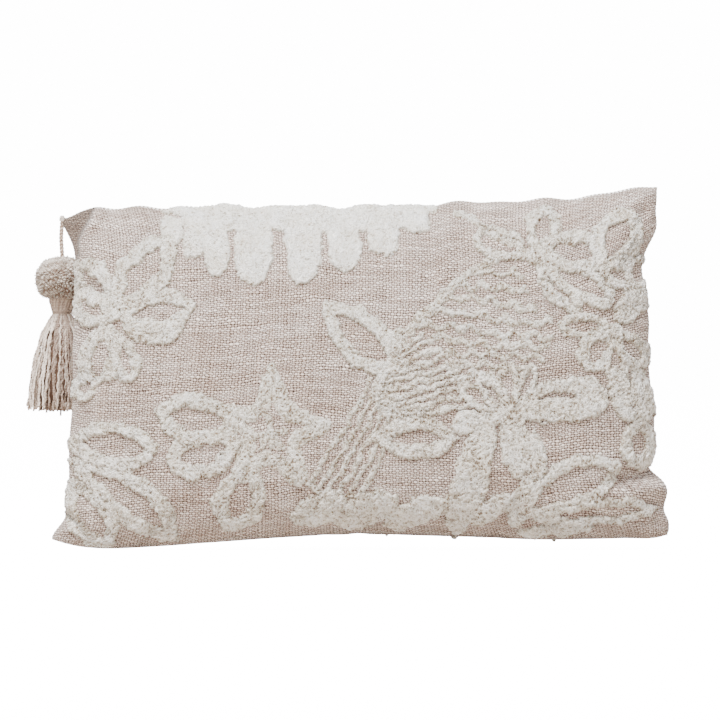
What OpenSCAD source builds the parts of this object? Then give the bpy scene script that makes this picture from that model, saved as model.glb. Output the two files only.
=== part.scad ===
// Lumbar throw pillow standing on its long bottom edge and leaning back a little.
// Woven cover with raised tufted yarn motifs on the front, a zip low on the back,
// a fibre filled insert inside, and a tassel hanging by a twisted cord from one ear.
// X runs along the pillow, the tufted front faces -Y, Z is up.

/* [Pillow] */
// Width between the two bottom ears
bottom_w = 549; // [480:1:640]
// Width between the two top ears
top_w = 530; // [470:1:620]
// Height of the middle of the top edge above the floor
stand_h = 304; // [260:1:340]
// Stuffed depth of the front or the back half at its deepest
half_depth = 60; // [45:1:75]
// How far the top seam lies behind the bottom seam
lean_back = 34; // [0:1:50]
// How far the sides are pulled in between the ears
side_pull = 13; // [0:1:25]
// Thickness of the woven cover
cover_t = 1.2; // [0.8:0.1:2]

/* [Tufting] */
// Height of the tufted yarn above the cover
tuft_h = 3.2; // [1.5:0.1:5]
// Width of the band that outlines an open petal or leaf
tuft_band = 7; // [4:0.5:9]

/* [Zip] */
// Height of the middle of the zip above the floor
zip_z = 54; // [50:1:60]
// Half of the arc length of the zip
zip_half = 175; // [140:1:180]
// Length of the pull tab on the slider
pull_len = 30; // [20:1:34]

/* [Tassel] */
// Width of the round pompom at the top of the tassel
pompom_w = 45; // [36:1:46]
// Height of the round pompom
pompom_h = 39; // [32:1:40]
// Length of the skirt of yarn below the neck
skirt_len = 88; // [60:1:100]
// Thickness of the twisted hanging cord
cord_d = 3.6; // [3:0.1:3.9]

/* [Hidden] */

cover_col = [0.80, 0.76, 0.73];
tuft_col = [0.83, 0.82, 0.78];
yarn_col = [0.66, 0.59, 0.53];
zip_col = [0.78, 0.75, 0.70];
metal_col = [0.72, 0.60, 0.36];
insert_col = [0.95, 0.95, 0.94];

eps = 0.2;              // half of the gap at the seam between two panels
y_mid = -7.4;           // brings the middle of the depth to Y = 0
ear_right = 19;         // rise of the top right ear
ear_left = 8;           // drop of the top left ear
sag_up = 6;             // lift of the middle of the bottom edge
ear_foot = 8;           // lift of the two bottom ears
slant = -3;             // sideways shift of the top edge
foot_cut = 4.5;         // cuts the belly level along the floor
belly = 0.35;           // height of the deepest line, as a part of the height
fold_y = 29;            // how far the top left ear is folded back

// ---- surface of the pillow: u runs -1..1 across, v runs 0..1 up, k is a depth below it
function half_w(v, k) = bottom_w / 2 + (top_w - bottom_w) / 2 * v
    - side_pull * (1 - pow(abs(2 * v - 1), 5)) - 1.8 * k;
function z_top(u, k) = stand_h
    + (u > 0 ? ear_right * pow(u, 3) : -ear_left * pow(-u, 6)) - 1.8 * k;
function z_bot(u, k) = sag_up * pow(max(0, 1 - pow(u / 0.65, 2)), 2)
    + ear_foot * pow(max(0, abs(u) - 0.78) / 0.22, 3) + k;
function across(u) = (1 - 0.36 * u * u) * sqrt(max(0, 1 - pow(abs(u), 8)));
function up(v) = v < belly
    ? pow(1 - pow(1 - v / belly, 3.4), 1 / 3.4)
    : pow(max(0, 1 - pow((v - belly) / (1 - belly), 2.2)), 0.62);
function ramp(t) = t <= 0 ? 0 : t >= 1 ? 1 : t * t * (3 - 2 * t);
function fold(u, v) = fold_y * ramp((-u - 0.74) / 0.26) * ramp((v - 0.72) / 0.28);
function surf_z(u, v, k) = z_bot(u, k)
    + max(0, v * (z_top(u, k) - z_bot(u, k) + foot_cut) - foot_cut);
// depth line of the front (side -1) or the back (side 1), with an extra inset g
function surf_y(u, v, k, side, g = 0) = y_mid + lean_back * pow(v, 1.3) + fold(u, v)
    + side * (eps + (half_depth - k - g) * across(u) * up(v));
function surf(u, v, k, side, g = 0) =
    [slant * v + u * half_w(v, k), surf_y(u, v, k, side, g), surf_z(u, v, k)];

// ---- a thin closed shell between depths k0 and k1, from row lines va(u) to vb(u)
function flat(list) = [for (a = list) for (b = a) b];
function u_at(i, n) = sin(90 * (2 * i / n - 1));
function v_at(j, n) = (1 - cos(180 * j / n)) / 2;
module grid_shell(outer, inner, nu, nv, flip) {
    m = (nu + 1) * (nv + 1);
    quads = [for (i = [0:nu - 1]) for (j = [0:nv - 1])
        let (a = i * (nv + 1) + j, b = a + nv + 1)
        for (t = [[a, b, b + 1], [a, b + 1, a + 1]]) t];
    rim = concat(
        [for (i = [0:nu]) i * (nv + 1)],
        [for (j = [1:nv]) nu * (nv + 1) + j],
        [for (i = [nu - 1:-1:0]) i * (nv + 1) + nv],
        [for (j = [nv - 1:-1:1]) j]);
    n = len(rim);
    sides = [for (q = [0:n - 1]) let (a = rim[q], b = rim[(q + 1) % n])
        for (t = [[a, a + m, b + m], [a, b + m, b]]) t];
    faces = concat(
        [for (t = quads) [t[0], t[2], t[1]]],
        [for (t = quads) [t[0] + m, t[1] + m, t[2] + m]],
        [for (t = sides) [t[0], t[2], t[1]]]);
    polyhedron(points = concat(outer, inner),
        faces = flip ? [for (f = faces) [f[0], f[2], f[1]]] : faces);
}
module panel(side, k0, k1, nu, nv, loose = false) {
    outer = [for (i = [0:nu]) for (j = [0:nv])
        let (u = u_at(i, nu), v = v_at(j, nv))
        surf(u, v, k0, side, loose ? slack(u, v, side) : 0)];
    inner = [for (i = [0:nu]) for (j = [0:nv])
        let (u = u_at(i, nu), v = v_at(j, nv))
        surf(u, v, k1, side, loose ? slack(u, v, side) : 0)];
    grid_shell(outer, inner, nu, nv, side < 0);
}
// slack between the insert and the cover: behind the zip, and in the folded ear
function slack(u, v, side) =
    (side > 0 ? 8 / (1 + pow((surf_z(u, v, 0) - zip_z) / 13, 4)) : 0)
    + 6 * ramp((-u - 0.5) / 0.2) * ramp((v - 0.5) / 0.2);

// ---- the back panel is cut along the zip: height of the cut edge at u
zip_gap = 7;
zip_edge = zip_half + 6;
function cut_z(u, s) = zip_z + s * (0.25 + (zip_gap - 0.25)
    * ramp((zip_edge + 12 - abs(u * half_w(0.16, 0))) / 12));
function v_of_z(u, z, k) = (z - z_bot(u, k) + foot_cut)
    / (z_top(u, k) - z_bot(u, k) + foot_cut);
module back_part(s, nu, nv) {
    v0 = [for (i = [0:nu]) v_of_z(u_at(i, nu), cut_z(u_at(i, nu), s), 0)];
    v1 = [for (i = [0:nu]) v_of_z(u_at(i, nu), cut_z(u_at(i, nu), s), cover_t)];
    function rowv(c, j) = s > 0 ? c + (1 - c) * sin(90 * j / nv)
        : c * (1 - cos(90 * j / nv));
    outer = [for (i = [0:nu]) for (j = [0:nv])
        surf(u_at(i, nu), rowv(v0[i], j), 0, 1)];
    inner = [for (i = [0:nu]) for (j = [0:nv])
        surf(u_at(i, nu), rowv(v1[i], j), cover_t, 1)];
    grid_shell(outer, inner, nu, nv, false);
}

// ---- point on the front face above (x, z), raised by h along the normal
function solve_uv(x, z, u, v, n) = n == 0 ? [u, v]
    : let (v2 = v_of_z(u, z, 0), u2 = (x - slant * v2) / half_w(v2, 0))
    solve_uv(x, z, u2, v2, n - 1);
function face_y(x, z, side) = let (p = solve_uv(x, z, x / 260, z / 305, 4))
    surf_y(p[0], p[1], 0, side);
function raised(x, z, h, side = -1) = let (
    y = face_y(x, z, side),
    fx = face_y(x + 1, z, side) - y,
    fz = face_y(x, z + 1, side) - y,
    n = sqrt(1 + fx * fx + fz * fz))
    [x - side * h * fx / n, y + side * h / n, z - side * h * fz / n];

// ---- tufted shapes, each given on the front face by round numbers
// leaf: [x0, z0, x1, z1, width, bulge, kind], kind 0 is solid, 1 is an outline band
function leaf_rim(e, w, i, n) = let (
    d = [e[2] - e[0], e[3] - e[1]], l = norm(d), c = d / l, p = [-c[1], c[0]],
    q = w / e[4], t = (1 - cos(360 * i / n)) / 2,
    s = sin(360 * i / n), mid = [e[0], e[1]] + d / 2,
    a = (t - 0.5) * (l - (e[4] - w) * 1.3),
    b = w / 2 * s * pow(abs(s), 0.15) * (0.74 + 0.34 * t) + e[5] * (1 - pow(2 * t - 1, 2)))
    mid + c * a + p * b;
leaf_n = 16;            // points around a leaf
lift = 0.5;             // clearance of the tufting above the cover's facets
function band_pts(e, h) = flat([for (i = [0:leaf_n - 1]) let (
    o = leaf_rim(e, e[4], i, leaf_n),
    k = leaf_rim(e, e[4] - 2 * tuft_band, i, leaf_n))
    [raised(o[0], o[1], lift), raised(o[0], o[1], h),
     raised(k[0], k[1], h), raised(k[0], k[1], lift)]]);
function band_faces(s) = [for (i = [0:leaf_n - 1]) for (j = [0:3]) let (
    a = s + 4 * i + j, b = s + 4 * i + (j + 1) % 4,
    c = s + 4 * ((i + 1) % leaf_n) + (j + 1) % 4, d = s + 4 * ((i + 1) % leaf_n) + j)
    for (t = [[a, b, c], [a, c, d]]) t];
rings = [0, 0.5, 1];
function plate_pts(e, h) = let (m = [(e[0] + e[2]) / 2, (e[1] + e[3]) / 2]
    + e[5] * [-(e[3] - e[1]), e[2] - e[0]] / norm([e[2] - e[0], e[3] - e[1]]))
    [for (g = [h, lift]) for (p = concat([m],
        [for (r = [0.5, 1]) for (i = [0:leaf_n - 1])
            m + r * (leaf_rim(e, e[4], i, leaf_n) - m)]))
        raised(p[0], p[1], g)];
function plate_faces(s) = let (n = leaf_n, k = 2 * n + 1)
    flat([for (i = [0:n - 1]) let (j = (i + 1) % n,
        a = s + 1 + i, b = s + 1 + j, c = a + n, d = b + n)
        [[s, b, a], [a, b, d], [a, d, c],
         [s + k, a + k, b + k], [a + k, d + k, b + k], [a + k, c + k, d + k],
         [c, d, d + k], [c, d + k, c + k]]]);
// rope: a list of points and a width, rounded through its points
function at(p, i) = p[max(0, min(len(p) - 1, i))];
function rounded(p, n = 3) = concat(
    [for (i = [0:len(p) - 2]) for (k = [0:n - 1]) let (t = k / n,
        a = at(p, i - 1), b = p[i], c = p[i + 1], d = at(p, i + 2))
        b + 0.5 * t * (c - a + t * (2 * a - 5 * b + 4 * c - d
            + t * (3 * (b - c) + d - a)))],
    [p[len(p) - 1]]);
function tangent(p, i) = let (n = len(p),
    d = p[min(i + 1, n - 1)] - p[max(i - 1, 0)]) d / norm(d);
function rope_pts(p, w, h, side = -1, lift = lift) = flat([for (i = [0:len(p) - 1]) let (
    t = tangent(p, i), q = [-t[1], t[0]] * w / 2,
    a = p[i] + q, b = p[i] - q)
    [raised(a[0], a[1], lift, side), raised(a[0], a[1], h, side),
     raised(b[0], b[1], h, side), raised(b[0], b[1], lift, side)]]);
function rope_faces(s, n) = concat(
    [for (i = [0:n - 2]) for (j = [0:3]) let (
        a = s + 4 * i + j, b = s + 4 * i + (j + 1) % 4, c = b + 4, d = a + 4)
        for (t = [[a, c, b], [a, d, c]]) t],
    [[s, s + 1, s + 2], [s, s + 2, s + 3],
     [s + 4 * n - 4, s + 4 * n - 2, s + 4 * n - 3],
     [s + 4 * n - 4, s + 4 * n - 1, s + 4 * n - 2]]);
function sum_to(l, n) = n <= 0 ? 0 : l[n - 1] + sum_to(l, n - 1);
module tufts(leaves, ropes = [], rope_w = 4) {
    h = tuft_h;
    sets = concat([for (e = leaves) e[6] == 1 ? band_pts(e, h) : plate_pts(e, h)],
        [for (p = ropes) rope_pts(rounded(p), rope_w, h)]);
    sizes = [for (q = sets) len(q)];
    faces = flat([for (i = [0:len(sets) - 1]) let (s = sum_to(sizes, i))
        i < len(leaves)
            ? (leaves[i][6] == 1 ? band_faces(s) : plate_faces(s))
            : rope_faces(s, sizes[i] / 4)]);
    color(tuft_col) polyhedron(points = flat(sets), faces = faces);
}

// ---- layout of the tufting, X and Z of each shape on the front face
LEAVES_STAR_UL = [
    [-224, 206, -212, 206, 11, 0, 0],
    [-210, 216, -174, 268, 27, 0, 1],
    [-202, 209, -154, 220, 26, 0, 1],
    [-206, 198, -162, 180, 25, 0, 1],
    [-216, 194, -213, 148, 26, 0, 1],
    [-227, 196, -250, 164, 22, 0, 1],
    [-230, 206, -255, 212, 20, 0, 1],
    [-222, 218, -246, 254, 24, 0, 1]];
LEAVES_TOP_ROW = [
    [-160, 294, -156, 258, 26, 0, 0],
    [-129, 297, -130, 243, 28, 0, 0],
    [-93, 297, -93, 235, 36, 0, 0],
    [-53, 297, -52, 233, 36, 0, 0],
    [-15, 297, -15, 247, 32, 0, 0],
    [19, 297, 22, 262, 28, 0, 0],
    [38, 290, 66, 291, 12, 0, 0]];
LEAVES_CENTRE = [
    [-38, 206, 34, 196, 30, 4, 1],
    [-28, 180, 14, 162, 22, 2, 1]];
LEAVES_BODY = [[24, 120, 70, 184, 56, 0, 0]];
ROPES_FEATHERS = [
    [[62, 224], [82, 212], [100, 220], [120, 211], [140, 218]],
    [[62, 210], [84, 200], [104, 207], [124, 198], [144, 204]],
    [[82, 188], [104, 194], [126, 185], [146, 190]],
    [[90, 174], [106, 180], [128, 170], [146, 175]],
    [[88, 158], [108, 166], [130, 156], [146, 160]]];
ROPES_TAIL = [
    [[5, 148], [-8, 120], [-24, 92], [-46, 60]],
    [[13, 138], [1, 112], [-15, 84], [-36, 54]],
    [[17, 126], [9, 106], [-7, 79], [-26, 50]],
    [[1, 76], [-16, 48]]];
LEAVES_ALMOND = [[14, 98, 82, 98, 32, 0, 1]];
LEAVES_STAR_C = [
    [-86, 106, -84, 156, 24, 0, 0],
    [-76, 99, -36, 113, 24, 0, 1],
    [-80, 84, -58, 54, 22, 0, 1],
    [-96, 83, -116, 38, 24, 0, 1],
    [-102, 90, -150, 80, 24, 0, 1],
    [-100, 106, -172, 122, 28, 3, 1]];
LEAVES_SPRAY = [
    [-256, 92, -188, 90, 26, 2, 1],
    [-252, 68, -158, 22, 22, 3, 1],
    [-256, 44, -196, 12, 20, 2, 1]];
LEAVES_STEM_FLOWER = [
    [110, 114, 84, 134, 20, 0, 1],
    [120, 122, 128, 150, 20, 0, 1],
    [134, 120, 210, 138, 28, 6, 1],
    [130, 104, 152, 66, 24, 0, 1],
    [114, 114, 126, 112, 9, 0, 0]];
LEAVES_STEM = [
    [100, 100, 82, 28, 22, 0, 0],
    [126, 56, 106, 22, 16, 0, 0]];
LEAVES_FLOWER_TR = [
    [160, 258, 124, 286, 24, 0, 1],
    [168, 264, 172, 298, 22, 0, 1],
    [180, 256, 226, 274, 26, 0, 1],
    [178, 246, 206, 218, 22, 0, 1],
    [166, 240, 162, 206, 20, 0, 1],
    [156, 248, 112, 244, 22, 0, 1],
    [164, 252, 174, 252, 9, 0, 0]];
LEAVES_FLOWER_R = [
    [217, 190, 222, 222, 18, 0, 1],
    [208, 184, 180, 200, 18, 0, 1],
    [208, 172, 178, 164, 18, 0, 1],
    [222, 168, 238, 142, 17, 0, 1],
    [226, 180, 248, 190, 17, 0, 1]];
LEAVES_EDGE_R = [
    [236, 262, 240, 222, 18, 0, 1],
    [236, 126, 246, 78, 19, 0, 1]];
LEAVES_BOTTOM_C = [
    [-56, 40, -28, 32, 16, 0, 0],
    [-16, 34, 20, 42, 17, 0, 0],
    [30, 28, 64, 34, 14, 0, 0]];
LEAVES_BOTTOM_R = [
    [148, 36, 226, 68, 27, 3, 1],
    [184, 24, 250, 32, 17, 2, 1],
    [238, 60, 260, 50, 12, 0, 0]];

// ---- zip: a conical band about an upright axis, t up the tape and n out of it
zip_r = 1450;
zip_tilt = 12;
zip_y = 51.8;
zip_c = zip_y - zip_r;
stop_len = 4;
slider_at = zip_half - 7;
function arc_deg(s) = s / zip_r * 180 / PI;
module zip_band(t0, t1, n0, n1, s0, s1) {
    translate([0, zip_c, 0]) rotate([0, 0, 90 - arc_deg(s1)])
        rotate_extrude(angle = arc_deg(s1 - s0), $fn = 360)
            polygon([for (q = [[t0, n0], [t0, n1], [t1, n1], [t1, n0]])
                [zip_r + q[0] * sin(zip_tilt) + q[1] * cos(zip_tilt),
                 zip_z + q[0] * cos(zip_tilt) - q[1] * sin(zip_tilt)]]);
}
module at_zip(s) {
    translate([0, zip_c, 0]) rotate([0, 0, -arc_deg(s)])
        translate([0, zip_r, zip_z]) children();
}
module stitches(z) {
    pitch = 8;
    n = floor(2 * zip_edge / pitch);
    sets = [for (i = [0:n - 1]) let (x = -zip_edge + pitch * i)
        rope_pts([[x + 5, z], [x, z]], 0.9, 0.7, 1, 0.15)];
    color(zip_col) polyhedron(points = flat(sets),
        faces = flat([for (i = [0:n - 1]) rope_faces(8 * i, 2)]));
}

// ---- tassel, hanging straight below the folded ear
tassel_x = -270.5;
tassel_y = y_mid + lean_back + fold_y + eps;
cord_top = 289.6;
cord_end = 262;
pom_top = cord_end - 2;
pom_mid = pom_top - pompom_h / 2;
neck_r = 11.5;
neck_top = pom_mid - pompom_h / 2 * sqrt(1 - pow(2 * neck_r / pompom_w, 2));
neck_end = neck_top - 12.5;
skirt_top = neck_end - 0.4;
// route of the cord from the bar tack down to the pompom
CORD = [[-270.5, 289.6], [-271.1, 283], [-271.2, 273], [-270.5, 262]];
// outline of the skirt below its round top, part of its length down and radius
skirt_ball = 8.6;
SKIRT = [[0.13, 12.5], [0.21, 17.5], [0.36, 22], [0.58, 25.5], [1, 29]];

module front_panel() {
    color(cover_col) panel(-1, 0, cover_t, 34, 24);
}
module back_panel_upper() {
    color(cover_col) back_part(1, 34, 17);
}
module back_panel_lower() {
    color(cover_col) back_part(-1, 34, 8);
}
module star_flower_upper_left() { tufts(LEAVES_STAR_UL); }
module petal_row_top() { tufts(LEAVES_TOP_ROW); }
module leaf_pair_centre() { tufts(LEAVES_CENTRE); }
module bird_body() { tufts(LEAVES_BODY); }
module bird_feathers() { tufts([], ROPES_FEATHERS, 4); }
module bird_tail_strands() { tufts([], ROPES_TAIL, 4.5); }
module almond_leaf_centre() { tufts(LEAVES_ALMOND); }
module star_flower_centre() { tufts(LEAVES_STAR_C); }
module leaf_spray_lower_left() { tufts(LEAVES_SPRAY); }
module stem_flower() { tufts(LEAVES_STEM_FLOWER); }
module stem() { tufts(LEAVES_STEM); }
module flower_top_right() { tufts(LEAVES_FLOWER_TR); }
module flower_right() { tufts(LEAVES_FLOWER_R); }
module edge_leaves_right() { tufts(LEAVES_EDGE_R); }
module leaves_bottom_centre() { tufts(LEAVES_BOTTOM_C); }
module leaves_bottom_right() { tufts(LEAVES_BOTTOM_R); }

module zip_tape_upper() {
    color(zip_col) zip_band(3.3, 12, -0.3, 0.3, -zip_half - 12, zip_half + 12);
}
module zip_tape_lower() {
    color(zip_col) zip_band(-12, -3.3, -0.3, 0.3, -zip_half - 12, zip_half + 12);
}
module zip_coil_upper() {
    color(zip_col) zip_band(0.8, 3.3, -0.9, 0.9, -zip_half, zip_half);
}
module zip_coil_lower() {
    color(zip_col) zip_band(-3.3, -0.8, -0.9, 0.9, -zip_half, zip_half);
}
module zip_top_stops() {
    color(metal_col) {
        zip_band(0.8, 3.3, -1.2, 1.2, zip_half, zip_half + stop_len);
        zip_band(-3.3, -0.8, -1.2, 1.2, zip_half, zip_half + stop_len);
    }
}
module zip_bottom_stop() {
    color(metal_col) zip_band(-3.3, 3.3, -1.2, 1.2, -zip_half - stop_len, -zip_half);
}
module zip_topstitch_upper() { stitches(zip_z + zip_gap + 3.5); }
module zip_topstitch_lower() { stitches(zip_z - zip_gap - 3.5); }

module insert_front_panel() {
    color(insert_col) panel(-1, 2.2, 3, 22, 18, true);
}
module insert_back_panel() {
    color(insert_col) panel(1, 2.2, 3, 22, 18, true);
}
// one closed body of fibre inside the two insert panels
module insert_fibre_fill() {
    nu = 22;
    nv = 18;
    front = [for (i = [0:nu]) for (j = [0:nv]) let (u = u_at(i, nu), v = v_at(j, nv))
        surf(u, v, 3.3, -1, slack(u, v, -1))];
    back = [for (i = [0:nu]) for (j = [0:nv]) let (u = u_at(i, nu), v = v_at(j, nv))
        surf(u, v, 3.3, 1, slack(u, v, 1))];
    color(insert_col) grid_shell(front, back, nu, nv, true);
}

module slider_plate(y0, y1) {
    translate([0, y1, 0]) rotate([90, 0, 0]) linear_extrude(y1 - y0)
        polygon([[-5.5, -4.2], [1, -5.4], [5.5, -5.4], [5.5, 5.4], [1, 5.4], [-5.5, 4.2]]);
}
bar_y = 4.6;
module zip_slider() {
    color(metal_col) at_zip(slider_at) rotate([-zip_tilt, 0, 0]) {
        slider_plate(1.25, 2.6);
        slider_plate(-2.6, -1.25);
        translate([1.5, -1.25, -0.5]) cube([3.7, 2.5, 1]);
        for (s = [-1, 1]) for (y = [0.65, -1.25])
            translate([1, y, s > 0 ? 4.3 : -5.4]) cube([4.5, 0.6, 1.1]);
        for (x = [-4, 2.2])
            translate([x, 2.6, -0.6]) cube([1.2, 2, 1.2]);
        translate([-4, bar_y, 0]) rotate([0, 90, 0]) cylinder(r = 0.6, h = 7.4, $fn = 32);
    }
}
module zip_pull_tab() {
    color(metal_col) at_zip(slider_at)
        translate([-0.3, bar_y * cos(zip_tilt), -bar_y * sin(zip_tilt)])
        rotate([0, 90, 0]) {
            difference() {
                union() {
                    translate([0, 0, -1.2]) cylinder(r = 1.7, h = 2.4, $fn = 48);
                    translate([1, -0.6, -1.2]) cube([4.5, 1.2, 2.4]);
                }
                translate([0, 0, -2]) cylinder(r = 0.95, h = 4, $fn = 48);
            }
            translate([5, 0.6, 0]) rotate([90, 0, 0]) linear_extrude(1.2) difference() {
                union() {
                    translate([0, -2]) square([pull_len - 8, 4]);
                    translate([pull_len - 9, 0]) circle(d = 7, $fn = 48);
                }
                translate([pull_len - 9, 0]) circle(d = 3.2, $fn = 32);
            }
        }
}

module ear_bar_tack() {
    color(yarn_col) translate([tassel_x, tassel_y, cord_top + 2.4])
        cylinder(r = 2.1, h = 4, $fn = 32);
}
module tassel_cord() {
    n = 8;
    m = len(CORD);
    pts = [for (p = CORD) for (i = [0:n - 1])
        [p[0] + cord_d / 2 * cos(360 * i / n), tassel_y + cord_d / 2 * sin(360 * i / n),
         p[1]]];
    faces = concat([[for (i = [0:n - 1]) i]],
        [for (r = [0:m - 2]) for (i = [0:n - 1]) let (j = (i + 1) % n)
            for (t = [[r * n + j, r * n + i, r * n + n + i],
                      [r * n + j, r * n + n + i, r * n + n + j]]) t],
        [[for (i = [n - 1:-1:0]) (m - 1) * n + i]]);
    color(yarn_col) polyhedron(points = pts, faces = faces);
}
module pompom() {
    a0 = -asin(2 * (pom_mid - neck_top) / pompom_h);
    color(yarn_col) translate([tassel_x, tassel_y, pom_mid]) rotate_extrude($fn = 48)
        polygon(concat([[0, -(pom_mid - neck_top)]],
            [for (i = [0:14]) let (a = a0 + (90 - a0) * i / 14)
                [max(0, pompom_w / 2 * cos(a)), pompom_h / 2 * sin(a)]]));
}
module neck_binding() {
    color(yarn_col) translate([tassel_x, tassel_y, neck_end])
        cylinder(r1 = 10, r2 = neck_r, h = neck_top - neck_end, $fn = 48);
}
module skirt() {
    color(yarn_col) translate([tassel_x, tassel_y, skirt_top]) rotate_extrude($fn = 48)
        polygon(concat([for (a = [90:-15:0])
                [skirt_ball * cos(a), skirt_ball * (sin(a) - 1)]],
            [for (p = SKIRT) [p[1], -p[0] * skirt_len]], [[0, -skirt_len]]));
}

front_panel();
back_panel_upper();
back_panel_lower();
star_flower_upper_left();
petal_row_top();
leaf_pair_centre();
bird_body();
bird_feathers();
bird_tail_strands();
almond_leaf_centre();
star_flower_centre();
leaf_spray_lower_left();
stem_flower();
stem();
flower_top_right();
flower_right();
edge_leaves_right();
leaves_bottom_centre();
leaves_bottom_right();
zip_tape_upper();
zip_tape_lower();
zip_coil_upper();
zip_coil_lower();
zip_top_stops();
zip_bottom_stop();
zip_topstitch_upper();
zip_topstitch_lower();
insert_front_panel();
insert_back_panel();
insert_fibre_fill();
zip_slider();
zip_pull_tab();
ear_bar_tack();
tassel_cord();
pompom();
neck_binding();
skirt();
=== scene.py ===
import math

import bmesh
import bpy
import numpy as np
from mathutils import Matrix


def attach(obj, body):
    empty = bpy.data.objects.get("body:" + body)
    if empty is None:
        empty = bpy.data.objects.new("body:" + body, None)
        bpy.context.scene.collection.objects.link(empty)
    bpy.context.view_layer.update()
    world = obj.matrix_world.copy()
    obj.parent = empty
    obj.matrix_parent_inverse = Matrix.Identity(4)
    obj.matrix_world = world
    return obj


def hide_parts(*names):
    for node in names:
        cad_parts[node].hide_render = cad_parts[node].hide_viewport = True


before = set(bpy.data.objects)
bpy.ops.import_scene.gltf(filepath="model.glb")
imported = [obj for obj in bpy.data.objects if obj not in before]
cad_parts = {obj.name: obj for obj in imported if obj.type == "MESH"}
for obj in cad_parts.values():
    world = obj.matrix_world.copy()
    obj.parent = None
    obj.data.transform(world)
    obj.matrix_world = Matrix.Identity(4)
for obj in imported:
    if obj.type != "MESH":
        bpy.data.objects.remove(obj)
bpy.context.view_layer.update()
rng = np.random.RandomState(7)

# ------------------------------------------------------------------ helpers
# All shapes are worked out in millimetres in the CAD frame and written in metres.


def make(name, co, quads, body="cover", slot="woven_cover", mat=None, replaces=(), attrs=None):
    """A mesh piece from points in mm and quads (or triangles, last index repeated)."""
    co = np.asarray(co, float).reshape(-1, 3)
    quads = np.asarray(quads, np.int64).reshape(-1, 4)
    tri = quads[:, 3] == quads[:, 2]
    size = np.where(tri, 3, 4)
    start = np.concatenate([[0], np.cumsum(size)[:-1]])
    keep = np.ones(quads.shape, bool)
    keep[tri, 3] = False
    me = bpy.data.meshes.new(name)
    me.vertices.add(len(co))
    me.vertices.foreach_set("co", (co / 1000).astype(np.float32).ravel())
    me.loops.add(int(size.sum()))
    me.loops.foreach_set("vertex_index", quads[keep].astype(np.int32))
    me.polygons.add(len(quads))
    me.polygons.foreach_set("loop_start", start.astype(np.int32))
    me.update(calc_edges=True)
    me.validate()
    me.polygons.foreach_set("use_smooth", np.ones(len(me.polygons), bool))
    for key, val in (attrs or {}).items():
        val = np.asarray(val, np.float32)
        kind = "FLOAT" if val.ndim == 1 else "FLOAT_VECTOR"
        a = me.attributes.new(key, kind, "POINT")
        a.data.foreach_set("value" if val.ndim == 1 else "vector", val.ravel())
    ob = bpy.data.objects.new(name, me)
    bpy.context.scene.collection.objects.link(ob)
    if mat:
        me.materials.append(mat)
    if body:
        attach(ob, body)
        if replaces:
            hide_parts(*replaces)
    return ob


def grid_quads(n, m, flip=False, wrap=False, base=0):
    """Quads of an (n, m) array of points; wrap joins the last row to the first."""
    i = np.arange(n if wrap else n - 1)
    j = np.arange(m - 1)
    a = (i[:, None] * m + j[None, :]).ravel()
    b = (((i + 1) % n)[:, None] * m + j[None, :]).ravel()
    q = np.stack([a, b, b + 1, a + 1], 1)
    return (q[:, ::-1] if flip else q) + base


def smoothstep(a, b, x):
    t = np.clip((x - a) / (b - a), 0, 1)
    return t * t * (3 - 2 * t)


def bump1(x, c, w):
    """A single rounded bump of height 1 at c."""
    return np.exp(-((x - c) / w) ** 2)


def arc_length(path):
    """Length along a path at each of its points."""
    return np.concatenate([[0], np.cumsum(np.linalg.norm(np.diff(path, axis=0), axis=1))])


def resample(points, n):
    """n points spread evenly over a line of fewer points."""
    at = np.linspace(0, len(points) - 1, n)
    return np.stack([np.interp(at, np.arange(len(points)), points[:, k]) for k in range(3)], 1)


def value_noise(x, y, seed):
    """Smooth repeatable noise from -1 to 1 over the plane."""
    g = np.random.RandomState(seed).uniform(-1, 1, (64, 64))
    xi, yi = np.floor(x).astype(int), np.floor(y).astype(int)
    fx, fy = x - xi, y - yi
    fx, fy = fx * fx * (3 - 2 * fx), fy * fy * (3 - 2 * fy)
    a, b = g[xi % 64, yi % 64], g[(xi + 1) % 64, yi % 64]
    c, d = g[xi % 64, (yi + 1) % 64], g[(xi + 1) % 64, (yi + 1) % 64]
    return (a * (1 - fx) + b * fx) * (1 - fy) + (c * (1 - fx) + d * fx) * fy


# ------------------------------------------------------------------ camera
# level with the pillow's middle and straight in front of it, as far off as a product photo
cam_data = bpy.data.cameras.new("camera")
cam_data.lens = 448.6
cam_data.sensor_width = 36
cam = bpy.data.objects.new("camera", cam_data)
bpy.context.scene.collection.objects.link(cam)
cam.location = (-0.0031, -8.0, 0.1677)
cam.rotation_euler = (math.radians(90), 0, 0)
bpy.context.scene.camera = cam

# ------------------------------------------------------------------ the pillow's surface
# u runs from -1 at the left seam to 1 at the right one, v from 0 at the bottom to 1 at the top
BOTTOM_W, TOP_W = 549, 530            # between the bottom ears and between the top ears
STAND_H, HALF_D = 304, 60             # height at the middle, and half of the greatest depth
LEAN, SLANT, Y_MID = 34, -3, -7.4     # how far the top stands back and aside; where y starts
PULL, FOOT, BELLY = 13, 4.5, 0.35     # side seams pulled in; flat foot; height of the belly
EAR_R, EAR_L, EAR_FOOT = 19, 8, 8     # right ear stands up, left one droops, feet lift
SAG_UP, FOLD = 6, 29                  # arch of the bottom seam; top left ear folded back
HALF_S, LEN_T = 279.4, 355.6          # the flat cloth: half of its width, and its height
ZIP_Z = 54                            # height of the zip above the floor


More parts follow.
